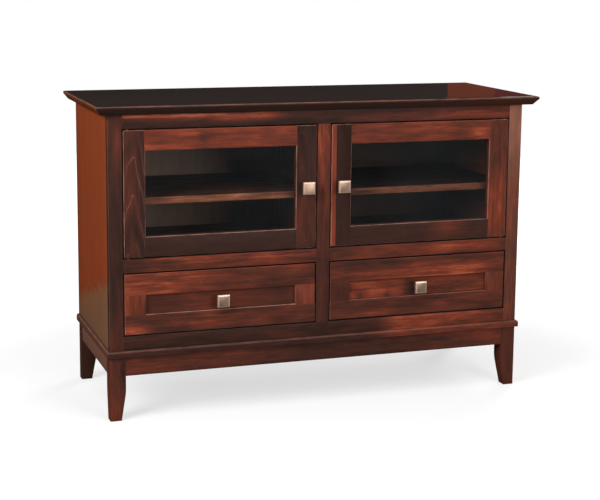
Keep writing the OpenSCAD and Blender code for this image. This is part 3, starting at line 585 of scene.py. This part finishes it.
def makeScrew(kind):
    screw = makeTurned(screwShapes[kind])
    radius = max(wide for wide, height in screwShapes[kind]) * mm
    cutAway(screw, recessFor(radius))
    pickPiece(screw)
    bpy.ops.object.shade_smooth_by_angle(angle=smoothAngle)
    return screw


def placeScrews(name, kind, spots, outward, body):
    screw = makeScrew(kind)
    piece = joinPieces([twinOf(screw, Vector(spot) * mm, outward) for spot in spots], name)
    bpy.data.objects.remove(screw)
    paint(piece, zinc)
    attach(piece, body)


def backScrewSpots():
    level = cadHigh[1] / mm - backScrews["below"]
    spots = [(x, level, z) for x in backScrews["sideX"] for z in backScrews["sideZ"]]
    spots += [(x, level, z) for x in backScrews["rowX"] for z in backScrews["rowZ"]]
    return spots + [(-x, y, z) for x, y, z in spots]


def countersinks():
    sink = makeTurned(screwShapes["sink"])
    cutter = joinPieces([twinOf(sink, Vector(spot) * mm, (0, 1, 0)) for spot in backScrewSpots()], "sinks")
    bpy.data.objects.remove(sink)
    return cutter


def catchScrewSpots(sign):
    return [(sign * catchScrews["x"], y, catchScrews["z"]) for y in catchScrews["rowY"]]


def frontScrewSpots(sign):
    x, y, z = frontScrews["middle"]
    reachX, reachZ = frontScrews["reachX"], frontScrews["reachZ"]
    return [(sign * (x + stepX), y, z + stepZ)
            for stepX in (-reachX, reachX) for stepZ in (-reachZ, reachZ)]


placeScrews("back-screws", "countersunk", backScrewSpots(), (0, 1, 0), "case")
for side, sign in (("left", -1), ("right", 1)):
    placeScrews("catch-screws-" + side, "pan", catchScrewSpots(sign), (sign, 0, 0), "case")
    placeScrews("front-screws-" + side, "wide", frontScrewSpots(sign), (0, 1, 0), side + "_drawer")
print("screws placed")


# Wooden pieces: each CAD board gets softened edges and a grain of its own

boardEdges = {"merge": 0.001 * mm, "flatAngle": 0.3, "bevelAngle": 28, "segments": 2}  # angles in degrees


def copyNode(nodeName, pieceName):
    source = nodes[nodeName]
    piece = source.copy()
    piece.data = source.data.copy()
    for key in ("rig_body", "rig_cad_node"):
        if key in piece:
            del piece[key]
    piece.parent = None
    piece.name = pieceName
    piece.data.name = pieceName
    scene.collection.objects.link(piece)
    pickPiece(piece)
    bpy.ops.object.mode_set(mode="EDIT")
    bpy.ops.mesh.select_all(action="SELECT")
    bpy.ops.mesh.remove_doubles(threshold=boardEdges["merge"])
    bpy.ops.mesh.dissolve_limited(angle_limit=math.radians(boardEdges["flatAngle"]))
    bpy.ops.object.mode_set(mode="OBJECT")
    return piece


def softenEdges(piece, width):
    applyModifier(piece, "BEVEL", width=width, segments=boardEdges["segments"], limit_method="ANGLE",
                  angle_limit=math.radians(boardEdges["bevelAngle"]), harden_normals=False)
    pickPiece(piece)
    bpy.ops.object.shade_smooth_by_angle(angle=smoothAngle)


def islandsOf(mesh):  # vertex lists of the separate boards in one mesh
    neighbours = [[] for _ in mesh.vertices]
    for edge in mesh.edges:
        first, second = edge.vertices
        neighbours[first].append(second)
        neighbours[second].append(first)
    seen = [False] * len(mesh.vertices)
    found = []
    for start in range(len(mesh.vertices)):
        if seen[start]:
            continue
        seen[start] = True
        group, queue = [], [start]
        while queue:
            here = queue.pop()
            group.append(here)
            for there in neighbours[here]:
                if not seen[there]:
                    seen[there] = True
                    queue.append(there)
        found.append(group)
    return found


def boxOf(points):
    low = Vector((min(p[axis] for p in points) for axis in range(3)))
    high = Vector((max(p[axis] for p in points) for axis in range(3)))
    return low, high


def toneAt(stations, share):  # stations: share of the length, tone, extra tone towards the upper edge
    earlier = stations[0]
    for later in stations:
        if later[0] >= share:
            width = max(later[0] - earlier[0], 1e-6)
            part = min(max((share - earlier[0]) / width, 0), 1)
            return [a + (b - a) * part for a, b in zip(earlier[1:], later[1:])]
        earlier = later
    return list(stations[-1][1:])


def boardsOf(mesh):
    found = []
    for group in islandsOf(mesh):
        low, high = boxOf([mesh.vertices[i].co for i in group])
        found.append((low, high, group))
    found.sort(key=lambda board: (round((board[0].x + board[1].x) / 2, 3), round(board[0].z, 3),
                                  round(board[0].y, 3)))
    return found


def longAxes(low, high):
    size = high - low
    return sorted(range(3), key=lambda axis: -size[axis])


def cutPiece(piece, planes):  # planes: a normal and its distance from the origin
    pickPiece(piece)
    bpy.ops.object.mode_set(mode="EDIT")
    for normal, distance in sorted(planes):
        bpy.ops.mesh.select_all(action="SELECT")
        bpy.ops.mesh.bisect(plane_co=Vector(normal) * distance, plane_no=normal, use_fill=False)
    bpy.ops.object.mode_set(mode="OBJECT")


def borderOf(nodeName):  # the outer edge that the boards of a door or a drawer front make together
    for group, member in (("door_left", "stiles"), ("door_right", "stiles"),
                          ("drawer_left_front", "rails"), ("drawer_right_front", "rails")):
        if nodeName.startswith(group):
            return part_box("%s_%s" % (group, member))
    return None


toneGrid = {
    "step": 20 * mm, "rows": 5,  # cuts along and across a board, where its tone changes
    "highlightAndShadeWidth": 2.4 * mm, "gapWidth": 2.5 * mm, "besideGap": 1.3 * mm, "gapShade": 0.5,
    "frameSides": 580 * mm,  # faces of the frame further out than this aren't walls of a gap
}
edgeTests = {"slanted": 0.97, "narrow": 1.3 * mm, "wide": 3.5 * mm, "upward": 0.15, "frontward": -0.3,
             "facing": 0.3, "sideways": 0.5, "onEdge": 0.5 * mm}
# painted highlight on the left and top edges of each door and drawer front, painted shade on their right and
# low edges, as for light from the upper left
highlightOfSide = {"left": 1.0, "right": 0.1, "low": 0.0, "high": 0.45}
paintedShadeOfSide = {"left": 0.0, "right": 0.5, "low": 0.6, "high": 0.0}
openings = [borderOf(name) for name in ("door_left", "door_right", "drawer_left_front",
                                        "drawer_right_front")]
axisNormals = ((1, 0, 0), (0, 1, 0), (0, 0, 1))


def evenCuts(axis, low, high, count):  # planes that cut a board into equal lengths along an axis
    size = high[axis] - low[axis]
    return {(axisNormals[axis], round(low[axis] + size * share / count, 5)) for share in range(1, count)}


def rimCuts(low, high, reach):  # planes a little way outside a door or drawer, or inside it
    return {(axisNormals[axis], place) for axis in (0, 2)
            for place in (low[axis] - reach, high[axis] + reach)}


def cutBoards(piece, looks, border, nodeName):  # tones, painted edge highlights and painted gap shade need points to sit on
    planes = set()
    for index, (low, high, group) in enumerate(boardsOf(piece.data)):
        look = looks[min(index, len(looks) - 1)]
        along, across = longAxes(low, high)[:2]
        if len(look["stations"]) > 1 or look["patches"]:
            columns = max(1, round((high[along] - low[along]) / toneGrid["step"]))
            planes |= evenCuts(along, low, high, columns)
        if look["patches"] or look["slant"]:
            planes |= evenCuts(across, low, high, toneGrid["rows"])
        planes |= {(normal, distance) for normal, distance, extra, facing in look["strips"]}
    if border:
        planes |= rimCuts(*border, -toneGrid["highlightAndShadeWidth"])
    if nodeName.startswith("frame"):
        for low, high in openings:
            planes |= rimCuts(low, high, toneGrid["gapWidth"] + toneGrid["besideGap"])
    cutPiece(piece, planes)


def edgeShare(point, border, strengths):  # most on the front's outer edge, 0 a little way in
    low, high = border
    steps = {"left": point.x - low[0], "right": high[0] - point.x, "low": point.z - low[2],
             "high": high[2] - point.z}
    return max(strengths[side] * max(0.0, 1.0 - max(step, 0.0) / toneGrid["highlightAndShadeWidth"])
               for side, step in steps.items())


def besideOpening(middle):  # the narrow strip of the face frame round a door or drawer, which gets painted shade
    for low, high in openings:
        outside = max(low[0] - middle.x, middle.x - high[0], low[2] - middle.z, middle.z - high[2])
        if 0 < outside < toneGrid["gapWidth"] + toneGrid["besideGap"]:
            return True
    return False


def inGap(face, border, nodeName):  # the walls of the narrow gaps round the doors and drawers
    if abs(face.normal.y) > edgeTests["sideways"]:
        return False
    if border:
        middle = face.center
        return min(min(middle[axis] - border[0][axis], border[1][axis] - middle[axis])
                   for axis in (0, 2)) < edgeTests["onEdge"]
    return nodeName.startswith("frame") and abs(face.center.x) < toneGrid["frameSides"]


def toneOfPoint(look, along, across):
    lean = along + look["slant"] * (across - 0.5)
    tone, tilt = toneAt(look["stations"], lean)
    tone += tilt * (across - 0.5)
    for middle, height, length, width, strength in look["patches"]:
        tone += strength * math.exp(-((along - middle) / length) ** 2 - ((across - height) / width) ** 2)
    return tone


def markPoints(mesh, looks, seed, grainPlace, boardLook):  # returns the board of each point
    boardOfPoint = {}
    dice = random.Random(seed)
    for index, (low, high, group) in enumerate(boardsOf(mesh)):
        look = looks[min(index, len(looks) - 1)]
        order = longAxes(low, high)
        middle = (low + high) / 2
        drift = Vector([dice.uniform(-9, 9) for axis in order])
        for i in group:
            spot = mesh.vertices[i].co - middle
            grainPlace[i].vector = Vector([spot[axis] for axis in order]) + drift
            share = 0.5 + spot[order[0]] / (high[order[0]] - low[order[0]])
            boardLook[i].vector = (look["figure"], toneAt(look["sheenWash"], share)[0], spot[order[1]])
            boardOfPoint[i] = (look, order, low, high)
    return boardOfPoint


def highlightOfFace(mesh, face, look):  # painted highlights: chamfers and the narrow upper edges get pale lines where they would catch the light
    if max(abs(value) for value in face.normal) > edgeTests["slanted"]:
        return 0.0
    corners = [mesh.vertices[i].co for i in face.vertices]
    longest = max((corners[i] - corners[i - 1]).length for i in range(len(corners)))
    width = face.area / longest
    if width < edgeTests["narrow"]:
        return look["arris"] if face.normal.z > edgeTests["upward"] else 0.0
    return look["edgeHighlight"] if width < edgeTests["wide"] else 0.0


def markCorners(mesh, boardOfPoint, boardMark, border, nodeName):  # tone, contrast and painted edge highlights, with painted shade in the gaps
    for face in mesh.polygons:
        look, order, low, high = boardOfPoint[face.vertices[0]]
        facesFront = face.normal.y < edgeTests["frontward"]
        atGap = inGap(face, border, nodeName)
        if nodeName.startswith("frame") and facesFront:
            atGap = besideOpening(face.center)
        # painted shade on the walls of the gaps and on the frame beside them
        shift = -toneGrid["gapShade"] if atGap else 0.0
        for normal, distance, extra, facing in look["strips"]:
            turned = face.normal.dot(Vector(facing)) > edgeTests["facing"]
            if turned and face.center.dot(Vector(normal)) > distance:
                shift += extra
        faceHighlight = highlightOfFace(mesh, face, look)
        for corner in face.loop_indices:
            spot = mesh.vertices[mesh.loops[corner].vertex_index].co
            along, across = [(spot[axis] - low[axis]) / max(high[axis] - low[axis], 1e-6)
                             for axis in order[:2]]
            tone = toneOfPoint(look, along, across) + shift
            edge = faceHighlight
            # painted highlight round the front's edges, painted shade on its right and low ones
            if border and facesFront:
                edge = max(faceHighlight, edgeShare(spot, border, highlightOfSide) * look["outer"])
                tone -= edgeShare(spot, border, paintedShadeOfSide)
            boardMark[corner].vector = (tone, look["contrast"], edge)


def markBoards(mesh, looks, seed, border, nodeName):
    domains = {"grainPlace": "POINT", "boardLook": "POINT", "boardMark": "CORNER"}
    for name, domain in domains.items():  # made first, as making one moves the others
        mesh.attributes.new(name, "FLOAT_VECTOR", domain)
    grainPlace, boardLook, boardMark = [mesh.attributes[name].data for name in domains]
    boardOfPoint = markPoints(mesh, looks, seed, grainPlace, boardLook)
    markCorners(mesh, boardOfPoint, boardMark, border, nodeName)


def dressBoards(nodeName, finish, looks, width, seed):
    piece = copyNode(nodeName, nodeName.replace("_", "-"))
    softenEdges(piece, width * mm)
    if nodeName == "back_panels":
        cutAway(piece, countersinks())
    border = borderOf(nodeName)
    cutBoards(piece, looks, border, nodeName)
    markBoards(piece.data, looks, seed, border, nodeName)
    paint(piece, woods[finish])
    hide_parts(nodeName)
    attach(piece, nodes[nodeName]["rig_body"])


def asStations(values, width):  # a plain number is the same all along the board
    if not isinstance(values, (list, tuple)):
        values = [(0, values)]
    return [tuple(station) + (0,) * (width - len(station)) for station in values]


def board(stations, contrast=0.45, figure=0.1, sheenWash=0.0, edgeHighlight=1.3, outer=1.0, arris=0.0, strips=(),
          patches=(), slant=0.0):
    return {"stations": asStations(stations, 3), "contrast": contrast, "figure": figure,
            "sheenWash": asStations(sheenWash, 2), "edgeHighlight": edgeHighlight, "outer": outer, "arris": arris,
            "strips": strips, "patches": patches, "slant": slant}


# Name: finish, looks of its boards from left to right and from low to high, edge softening in mm.
# A look is its tone, or tones at shares of its length from left to right or from low to high.
# A patch: share along the board, share across it, its half length and half width, extra tone.
# A strip: a plane's normal and distance, the extra tone beyond it, and the way its faces look.
# Painted highlights, pale lines where edges catch the light: one strength for inner chamfers, outer for the
# line round a front, and one for top edges.
up, ahead, toLeft = (0, 0, 1), (0, -1, 0), (-1, 0, 0)
caseBoards = {
    # painted light on the top: its faces turned to the left are lighter against its own shadow, and its
    # right end is lighter as a painted reflection
    "top_panel": ("topStain", [
        board([(0, 0.18), (0.6, 0.2), (1, 0.32)], 0.15, arris=0.9,
              strips=[(toLeft, 584 * mm, 0.6, toLeft), (ahead, 200 * mm, 0.16, ahead)])], 1.2),
    # The left side's olive lower part, with a slanted edge, is a painted reflection of the floor.
    "side_panel_left": ("sideStain", [
        board([(0, 0.4), (0.12, 0.44), (0.17, 0.48), (0.21, 0.68), (0.6, 0.7), (1, 0.78)], 0.12,
              slant=0.2)], 0.4),
    "side_panel_right": ("sideStain", [
        board([(0, 0.68), (0.6, 0.72), (1, 0.78)], 0.14)], 0.4),
    "centre_partition": ("insideStain", [board(0.72)], 0.6),
    "case_bottom": ("insideStain", [board(0.6)], 0.6),
    "cupboard_floors": ("insideStain", [board(0.7), board(0.5)], 0.6),
    # painted light: the back's inner face is lighter in the left bay and darker in the right one
    "back_panels": ("backVeneer", [
        board([(0, 0.62), (1, 0.66)], 0.04, strips=[(ahead, -232 * mm, 0.24, ahead)]),
        board([(0, 0.62), (1, 0.66)], 0.06, strips=[(ahead, -232 * mm, -0.12, ahead)])], 0.5),
    "top_cleats": ("insideStain", [board(0.4)], 0.8),
    "frame_stiles_outer": ("frontStain", [
        board([(0, 0.36), (0.08, 0.31), (0.2, 0.22), (0.6, 0.2), (0.8, 0.28), (1, 0.32)], 0.4, edgeHighlight=0.3,
              patches=[(0.88, 0.6, 0.1, 0.3, 0.14)]),
        # painted reflection: the right outer stile grows lighter and greyer towards its top
        board([(0, 0.47), (0.5, 0.5), (0.8, 0.58), (1, 0.78)], 0.6, edgeHighlight=0.2,
              sheenWash=[(0, 0.06), (0.6, 0.12), (1, 0.62)])], 0.25),
    "frame_stile_centre": ("frontStain", [
        board([(0, 0.28), (0.3, 0.3), (0.5, 0.38), (0.8, 0.54), (1, 0.6)], 0.5, edgeHighlight=0.3)], 0.25),
    "frame_rail_top": ("frontStain", [
        board([(0, 0.2), (0.45, 0.19), (0.6, 0.25), (1, 0.34)], 0.5, edgeHighlight=0.2,
              patches=[(0.1, 0.88, 0.13, 0.26, 0.84), (0.3, 0.74, 0.115, 0.3, 0.68),
                       (0.62, 0.25, 0.06, 0.3, 0.18), (0.85, 0.4, 0.18, 0.35, 0.24)])], 0.25),
    "frame_rails_middle": ("frontStain", [
        board([(0, 0.24), (0.1, 0.26), (0.22, 0.5), (0.4, 0.46), (1, 0.44)], 0.6, edgeHighlight=0.2,
              patches=[(0.35, 0.6, 0.12, 0.4, 0.14), (0.78, 0.7, 0.14, 0.3, 0.1)]),
        board(0.46, 0.45, edgeHighlight=0.2, patches=[(0.0, 0.3, 0.08, 0.6, -0.2), (0.72, 0.7, 0.15, 0.35, 0.15),
                                            (1.0, 0.5, 0.05, 0.7, -0.12)])], 0.25),
    "frame_rail_bottom": ("frontStain", [
        board([(0, 0.23), (0.35, 0.23), (0.42, 0.32), (0.5, 0.24), (0.64, 0.26), (0.7, 0.66), (0.85, 0.66),
               (0.93, 0.46), (1, 0.4)], 0.5, edgeHighlight=0.2)], 0.25),
    # painted light: the shelves' front edges are lighter, for the light that falls on them
    "shelves": ("shelfStain", [board(0.38, 0.5, arris=0.6, strips=[(ahead, 159.3 * mm, 0.28, ahead)]),
                               board(0.22, 0.5, arris=0.4, strips=[(ahead, 159.3 * mm, 0.32, ahead)])], 0.5),
    "leg_front_left": ("frontStain", [board([(0, 0.44), (0.4, 0.42), (1, 0.34)], 0.5)], 0.6),
    "leg_front_right": ("frontStain", [board([(0, 0.38), (1, 0.4)], 0.3)], 0.6),
    "leg_back_left": ("frontStain", [board([(0, 0.26), (1, 0.32)], 0.2)], 0.6),
    "leg_back_right": ("frontStain", [board(0.3, 0.2)], 0.6),
    "apron_front": ("frontStain", [
        board([(0, 0.4), (0.3, 0.4), (0.45, 0.26), (0.7, 0.25), (0.8, 0.38), (0.95, 0.44), (1, 0.4)], 0.45,
              patches=[(0.15, 0.6, 0.1, 0.3, 0.12)])], 0.4),
    "apron_back": ("frontStain", [board(0.34, 0.4)], 0.6),
    "aprons_side": ("frontStain", [board(0.34, 0.3, sheenWash=0.34), board(0.36, 0.3, sheenWash=0.2)], 0.5),
    # painted shade: the moulding's upward faces are darker, against the light from above
    "base_moulding": ("frontStain", [
        board(0.32, 0.3, sheenWash=0.12, edgeHighlight=0.3, arris=0.9, strips=[(up, 187 * mm, -0.16, up)]),
        board([(0, 0.26), (0.2, 0.26), (0.6, 0.25), (0.68, 0.46), (0.8, 0.56), (1, 0.46)], 0.5, edgeHighlight=0.3,
              arris=0.35, strips=[(up, 187 * mm, -0.1, up)])], 0.5),
    "corner_blocks": ("insideStain", [board(0.5)], 0.8),
    "slide_spacers": ("insideStain", [board(0.5)], 0.8),
}
doorBoards = {
    "door_left_stiles": ("frontStain", [
        board([(0, 0.24), (0.2, 0.26), (0.5, 0.29), (1, 0.29)], 0.35, figure=1.0,
              patches=[(0.6, 0.2, 0.25, 0.22, 0.16)]),
        board([(0, 0.26), (0.15, 0.36), (0.35, 0.34), (0.5, 0.24), (1, 0.21)], 0.4, figure=0.2)], 0.25),
    "door_left_rails": ("frontStain", [
        board(0.21, 0.2),
        board([(0, 0.58), (0.3, 0.6), (1, 0.56)], 0.4, edgeHighlight=0.3,
              patches=[(0.4, 0.6, 0.04, 0.3, -0.28), (0.12, 0.4, 0.06, 0.2, -0.12)])], 0.25),
    "door_left_beads": ("frontStain", [board(0.25)], 0.4),
    "door_right_stiles": ("frontStain", [
        board([(0, 0.21), (0.6, 0.19), (1, 0.17)], 0.2, strips=[(toLeft, -35 * mm, 0.46, ahead)]),
        board([(0, 0.48), (0.15, 0.53), (0.4, 0.53), (0.5, 0.46), (0.65, 0.38), (1, 0.4)], 0.45,
              patches=[(0.3, 0.6, 0.12, 0.3, 0.1)])], 0.25),
    "door_right_rails": ("frontStain", [
        board([(0, 0.23), (0.5, 0.24), (0.65, 0.3), (0.75, 0.3), (0.85, 0.24), (1, 0.24)], 0.25,
              patches=[(0.68, 0.7, 0.08, 0.3, 0.22)]),
        board([(0, 0.46), (0.1, 0.54), (0.6, 0.58), (1, 0.5)], 0.45, edgeHighlight=0.3,
              patches=[(0.6, 0.85, 0.2, 0.2, 0.12), (0.88, 0.35, 0.05, 0.25, 0.22)])], 0.25),
    "door_right_beads": ("frontStain", [board(0.25)], 0.4),
}
drawerBoards = {
    "drawer_left_front_rails": ("frontStain", [
        board([(0, 0.26), (0.3, 0.28), (0.4, 0.38), (1, 0.4)], 0.55, outer=0.4,
              patches=[(0.04, 0.1, 0.08, 0.4, 0.5), (0.42, 0.5, 0.15, 0.3, 0.22)]),
        board([(0, 0.62), (0.3, 0.56), (0.4, 0.46), (0.7, 0.42), (1, 0.36)], 0.5, figure=0.2, edgeHighlight=0.2,
              outer=0.5,
              patches=[(0.2, 0.75, 0.12, 0.3, 0.12), (0.3, 0.5, 0.03, 0.3, 0.15),
                       (0.92, 0.9, 0.08, 0.25, 0.2)])], 0.25),
    "drawer_left_front_stiles": ("frontStain", [board(0.58, 0.4, edgeHighlight=0.3, outer=0.6),
                                                board(0.5, 0.4, sheenWash=0.03, edgeHighlight=0.3)], 0.25),
    "drawer_left_front_panel": ("frontStain", [
        board(0.42, 0.35, patches=[(0.08, 0.5, 0.06, 0.6, -0.08), (0.9, 0.5, 0.08, 0.6, -0.12)])], 0.3),
    "drawer_right_front_rails": ("frontStain", [
        board([(0, 0.34), (0.15, 0.38), (1, 0.4)], 0.5, edgeHighlight=0.7, outer=0.3,
              patches=[(0.2, 0.2, 0.12, 0.3, 0.12), (0.5, 0.8, 0.15, 0.3, -0.1)]),
        board([(0, 0.4, -0.1), (0.2, 0.42, -0.2), (0.4, 0.5, -0.3), (0.8, 0.5, -0.3), (1, 0.4)], 0.5,
              edgeHighlight=0.2, outer=0.3,
              patches=[(0.5, 0.35, 0.12, 0.2, 0.14), (0.75, 0.45, 0.12, 0.15, 0.18)])], 0.25),
    "drawer_right_front_stiles": ("frontStain", [board(0.33, 0.4, edgeHighlight=0.2, outer=0.3),
                                                 board(0.48, 0.5, edgeHighlight=0.2)], 0.25),
    "drawer_right_front_panel": ("frontStain", [
        board([(0, 0.62), (0.4, 0.58), (0.5, 0.52), (0.8, 0.54), (1, 0.46)], 0.5,
              patches=[(0.11, 0.15, 0.03, 0.35, -0.36), (0.29, 0.1, 0.03, 0.3, -0.3),
                       (0.44, 0.3, 0.05, 0.6, -0.36), (0.85, 0.75, 0.1, 0.35, -0.1)])], 0.3),
}
for side in ("left", "right"):
    for part in ("box_sides", "box_ends", "box_bottom"):
        drawerBoards["drawer_%s_%s" % (side, part)] = ("paleMaple", [board(0.5, 0.3), board(0.45, 0.3)], 0.5)

for seed, (name, (finish, looks, width)) in enumerate({**caseBoards, **doorBoards, **drawerBoards}.items()):
    dressBoards(name, finish, looks, width, seed + 11)
print("boards dressed:", len(caseBoards) + len(doorBoards) + len(drawerBoards))


# Knobs: the CAD forms with softened edges, a painted highlight on the rim and a cross recess in each bolt

knobLooks = {  # softening, bolt head and rim depth in mm
    "base": colour(178, 148, 128), "dark": 0.8, "rimHighlight": colour(226, 194, 170), "rough": (0.42, 0.54),
    "metallic": 0.85, "lineCells": (40, 40, 2200), "cloudCells": (160, 160, 160), "lineShare": 0.5,
    "bump": (0.25, 0.00002), "softening": 0.35, "boltHead": 4.5,
    "rimFacing": (-0.985, -0.1), "rimDepth": 3,  # y of a rim face's normal, and how far back it lies
}
knobBolts = {  # centre of the face of each bolt's head in mm
    "door_left_knob": (-50, -177.5, 598), "door_right_knob": (50, -177.5, 598),
    "drawer_left_knob": (-282.5, -165.5, 306.5), "drawer_right_knob": (282.5, -165.5, 306.5),
}


def makeKnob(nodeName, boltSpot, material):
    piece = copyNode(nodeName, nodeName.replace("_", "-"))
    softenEdges(piece, knobLooks["softening"] * mm)
    recess = recessFor(knobLooks["boltHead"] * mm)
    cutter = twinOf(recess, Vector(boltSpot) * mm, (0, 1, 0))
    bpy.data.objects.remove(recess)
    cutAway(piece, cutter)
    rimMark = piece.data.attributes.new("rimMark", "FLOAT", "FACE")
    front = min(vertex.co.y for vertex in piece.data.vertices)
    least, most = knobLooks["rimFacing"]
    for face in piece.data.polygons:
        onRim = least < face.normal.y < most and face.center.y < front + knobLooks["rimDepth"] * mm
        rimMark.data[face.index].value = 1.0 if onRim else 0.0
    paint(piece, material)
    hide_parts(nodeName)
    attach(piece, nodes[nodeName]["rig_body"])


knobNickel = makeMetal("knobNickel", knobLooks)
for nodeName, boltSpot in knobBolts.items():
    makeKnob(nodeName, boltSpot, knobNickel)
print("knobs finished:", len(knobBolts))


# Metal and glass nodes that keep their CAD shape

plainNodes = {
    "shelf_supports": zinc, "hinge_case_leaves": brass, "door_catches": plastic,
    "slide_cabinet_members": zinc, "slide_left_intermediates": zinc, "slide_right_intermediates": zinc,
}
for side in ("left", "right"):
    plainNodes["door_%s_glass" % side] = glass
    plainNodes["door_%s_hinge_leaves" % side] = brass
    plainNodes["door_%s_strike" % side] = zinc
    plainNodes["drawer_%s_slide_members" % side] = zinc
for name, material in plainNodes.items():
    paint(nodes[name], material)
print("plain nodes finished:", len(plainNodes))


# Floor, world and lamps

studio = {
    "below": 0.15, "horizon": 0.12, "lowSky": 0.168, "zenith": 0.45, "mirrorShare": 0.06,
    "floorSize": 5.0, "floorSeen": 0.4, "floorLit": 0.22, "floorLift": 0.62, "floorMirrored": 0.03,
    "fadeStart": 0.9, "fadeEnd": 2.0,
}
lamps = {  # place, target, width, height, watts
    "keyLeft": ((-3.0, -1.7, 1.9), (-0.2, 0.0, 0.4), 1.6, 1.6, 105),
    "fillRight": ((1.2, -3.7, 1.3), (0.1, 0.0, 0.4), 1.8, 1.4, 75),
    "overhead": ((0.0, -0.9, 3.0), (0.0, 0.0, 0.5), 2.2, 1.2, 20),
    "behind": ((2.9, 2.9, 2.2), (0.2, 0.2, 0.4), 1.6, 1.4, 75),
}


# Lamps that show only as reflections in the polished top: place, width, height, watts, colour
reflectionCards = {
    "warmCard": ((1.226, 1.46, 0.975), 0.19, 0.35, 0.42, (1.0, 0.12, 0.0)),
    "redCard": ((1.472, 1.346, 0.975), 0.35, 0.35, 0.5, (1.0, 0.0, 0.0)),
}
cardAim = Vector((-0.465, -1.0, -0.1))


def backdropShare(tree, path):  # 1 for what is seen straight or through glass, less in reflections
    turned = maths(tree, "MINIMUM", maths(tree, "ADD", path["Diffuse Depth"], path["Glossy Depth"]), 1.0)
    through = maths(tree, "MULTIPLY", path["Is Transmission Ray"], maths(tree, "SUBTRACT", 1.0, turned))
    mirrored = maths(tree, "MULTIPLY", path["Is Glossy Ray"], studio["mirrorShare"])
    return maths(tree, "MAXIMUM", maths(tree, "MAXIMUM", path["Is Camera Ray"], through), mirrored)


def makeWorld():
    world = bpy.data.worlds.new("studioDome")
    world.use_nodes = True
    scene.world = world
    tree = world.node_tree
    direction = addNode(tree, "ShaderNodeTexCoord", {}).outputs["Generated"]
    height = addNode(tree, "ShaderNodeSeparateXYZ", {0: direction}).outputs["Z"]
    level = rampOf(tree, spread(tree, height, -1, 1), [
        (0.0, greyOf(studio["below"])), (0.48, greyOf(studio["horizon"])),
        (0.62, greyOf(studio["lowSky"])), (1.0, greyOf(studio["zenith"]))])
    seen = backdropShare(tree, addNode(tree, "ShaderNodeLightPath", {}).outputs)
    fillInputs(tree, tree.nodes["Background"], {"Color": blend(tree, seen, level, greyOf(1.0))})


def makeFloor():
    bpy.ops.mesh.primitive_circle_add(vertices=96, radius=studio["floorSize"], fill_type="NGON")
    floor = bpy.context.object
    floor.name = "studioFloor"
    material, tree, shader = newMaterial("studioFloor")
    path = addNode(tree, "ShaderNodeLightPath", {}).outputs
    seen = backdropShare(tree, path)
    base = blend(tree, seen, greyOf(studio["floorLit"]), greyOf(studio["floorSeen"]))
    base = blend(tree, path["Is Glossy Ray"], base, greyOf(studio["floorMirrored"]))  # keeps the panes calm
    away = addNode(tree, "ShaderNodeVectorMath", {0: objectPlace(tree)}, operation="LENGTH").outputs["Value"]
    fade = spread(tree, away, studio["fadeStart"], studio["fadeEnd"])
    lift = maths(tree, "MULTIPLY_ADD", fade, 1.0 - studio["floorLift"], studio["floorLift"])
    fillInputs(tree, shader, {
        "Base Color": base, "Roughness": 0.9, "Specular IOR Level": 0.0,
        "Emission Color": greyOf(1.0), "Emission Strength": maths(tree, "MULTIPLY", lift, seen)})
    floor.data.materials.append(material)


def addLamp(name, spot, target, width, height, watts, shade=(1, 1, 1)):
    data = bpy.data.lights.new(name, "AREA")
    data.shape = "RECTANGLE"
    data.size, data.size_y, data.energy, data.color = width, height, watts, shade
    lamp = bpy.data.objects.new(name, data)
    scene.collection.objects.link(lamp)
    lamp.location = spot
    lamp.rotation_euler = (Vector(target) - Vector(spot)).to_track_quat("-Z", "Y").to_euler()
    return lamp


clearSelection()
makeWorld()
makeFloor()
for name, values in lamps.items():
    addLamp(name, *values)
for name, (spot, width, height, watts, shade) in reflectionCards.items():
    card = addLamp(name, spot, Vector(spot) + cardAim, width, height, watts, shade)
    card.visible_camera = False
    card.visible_transmission = False
print("stage and lamps set")
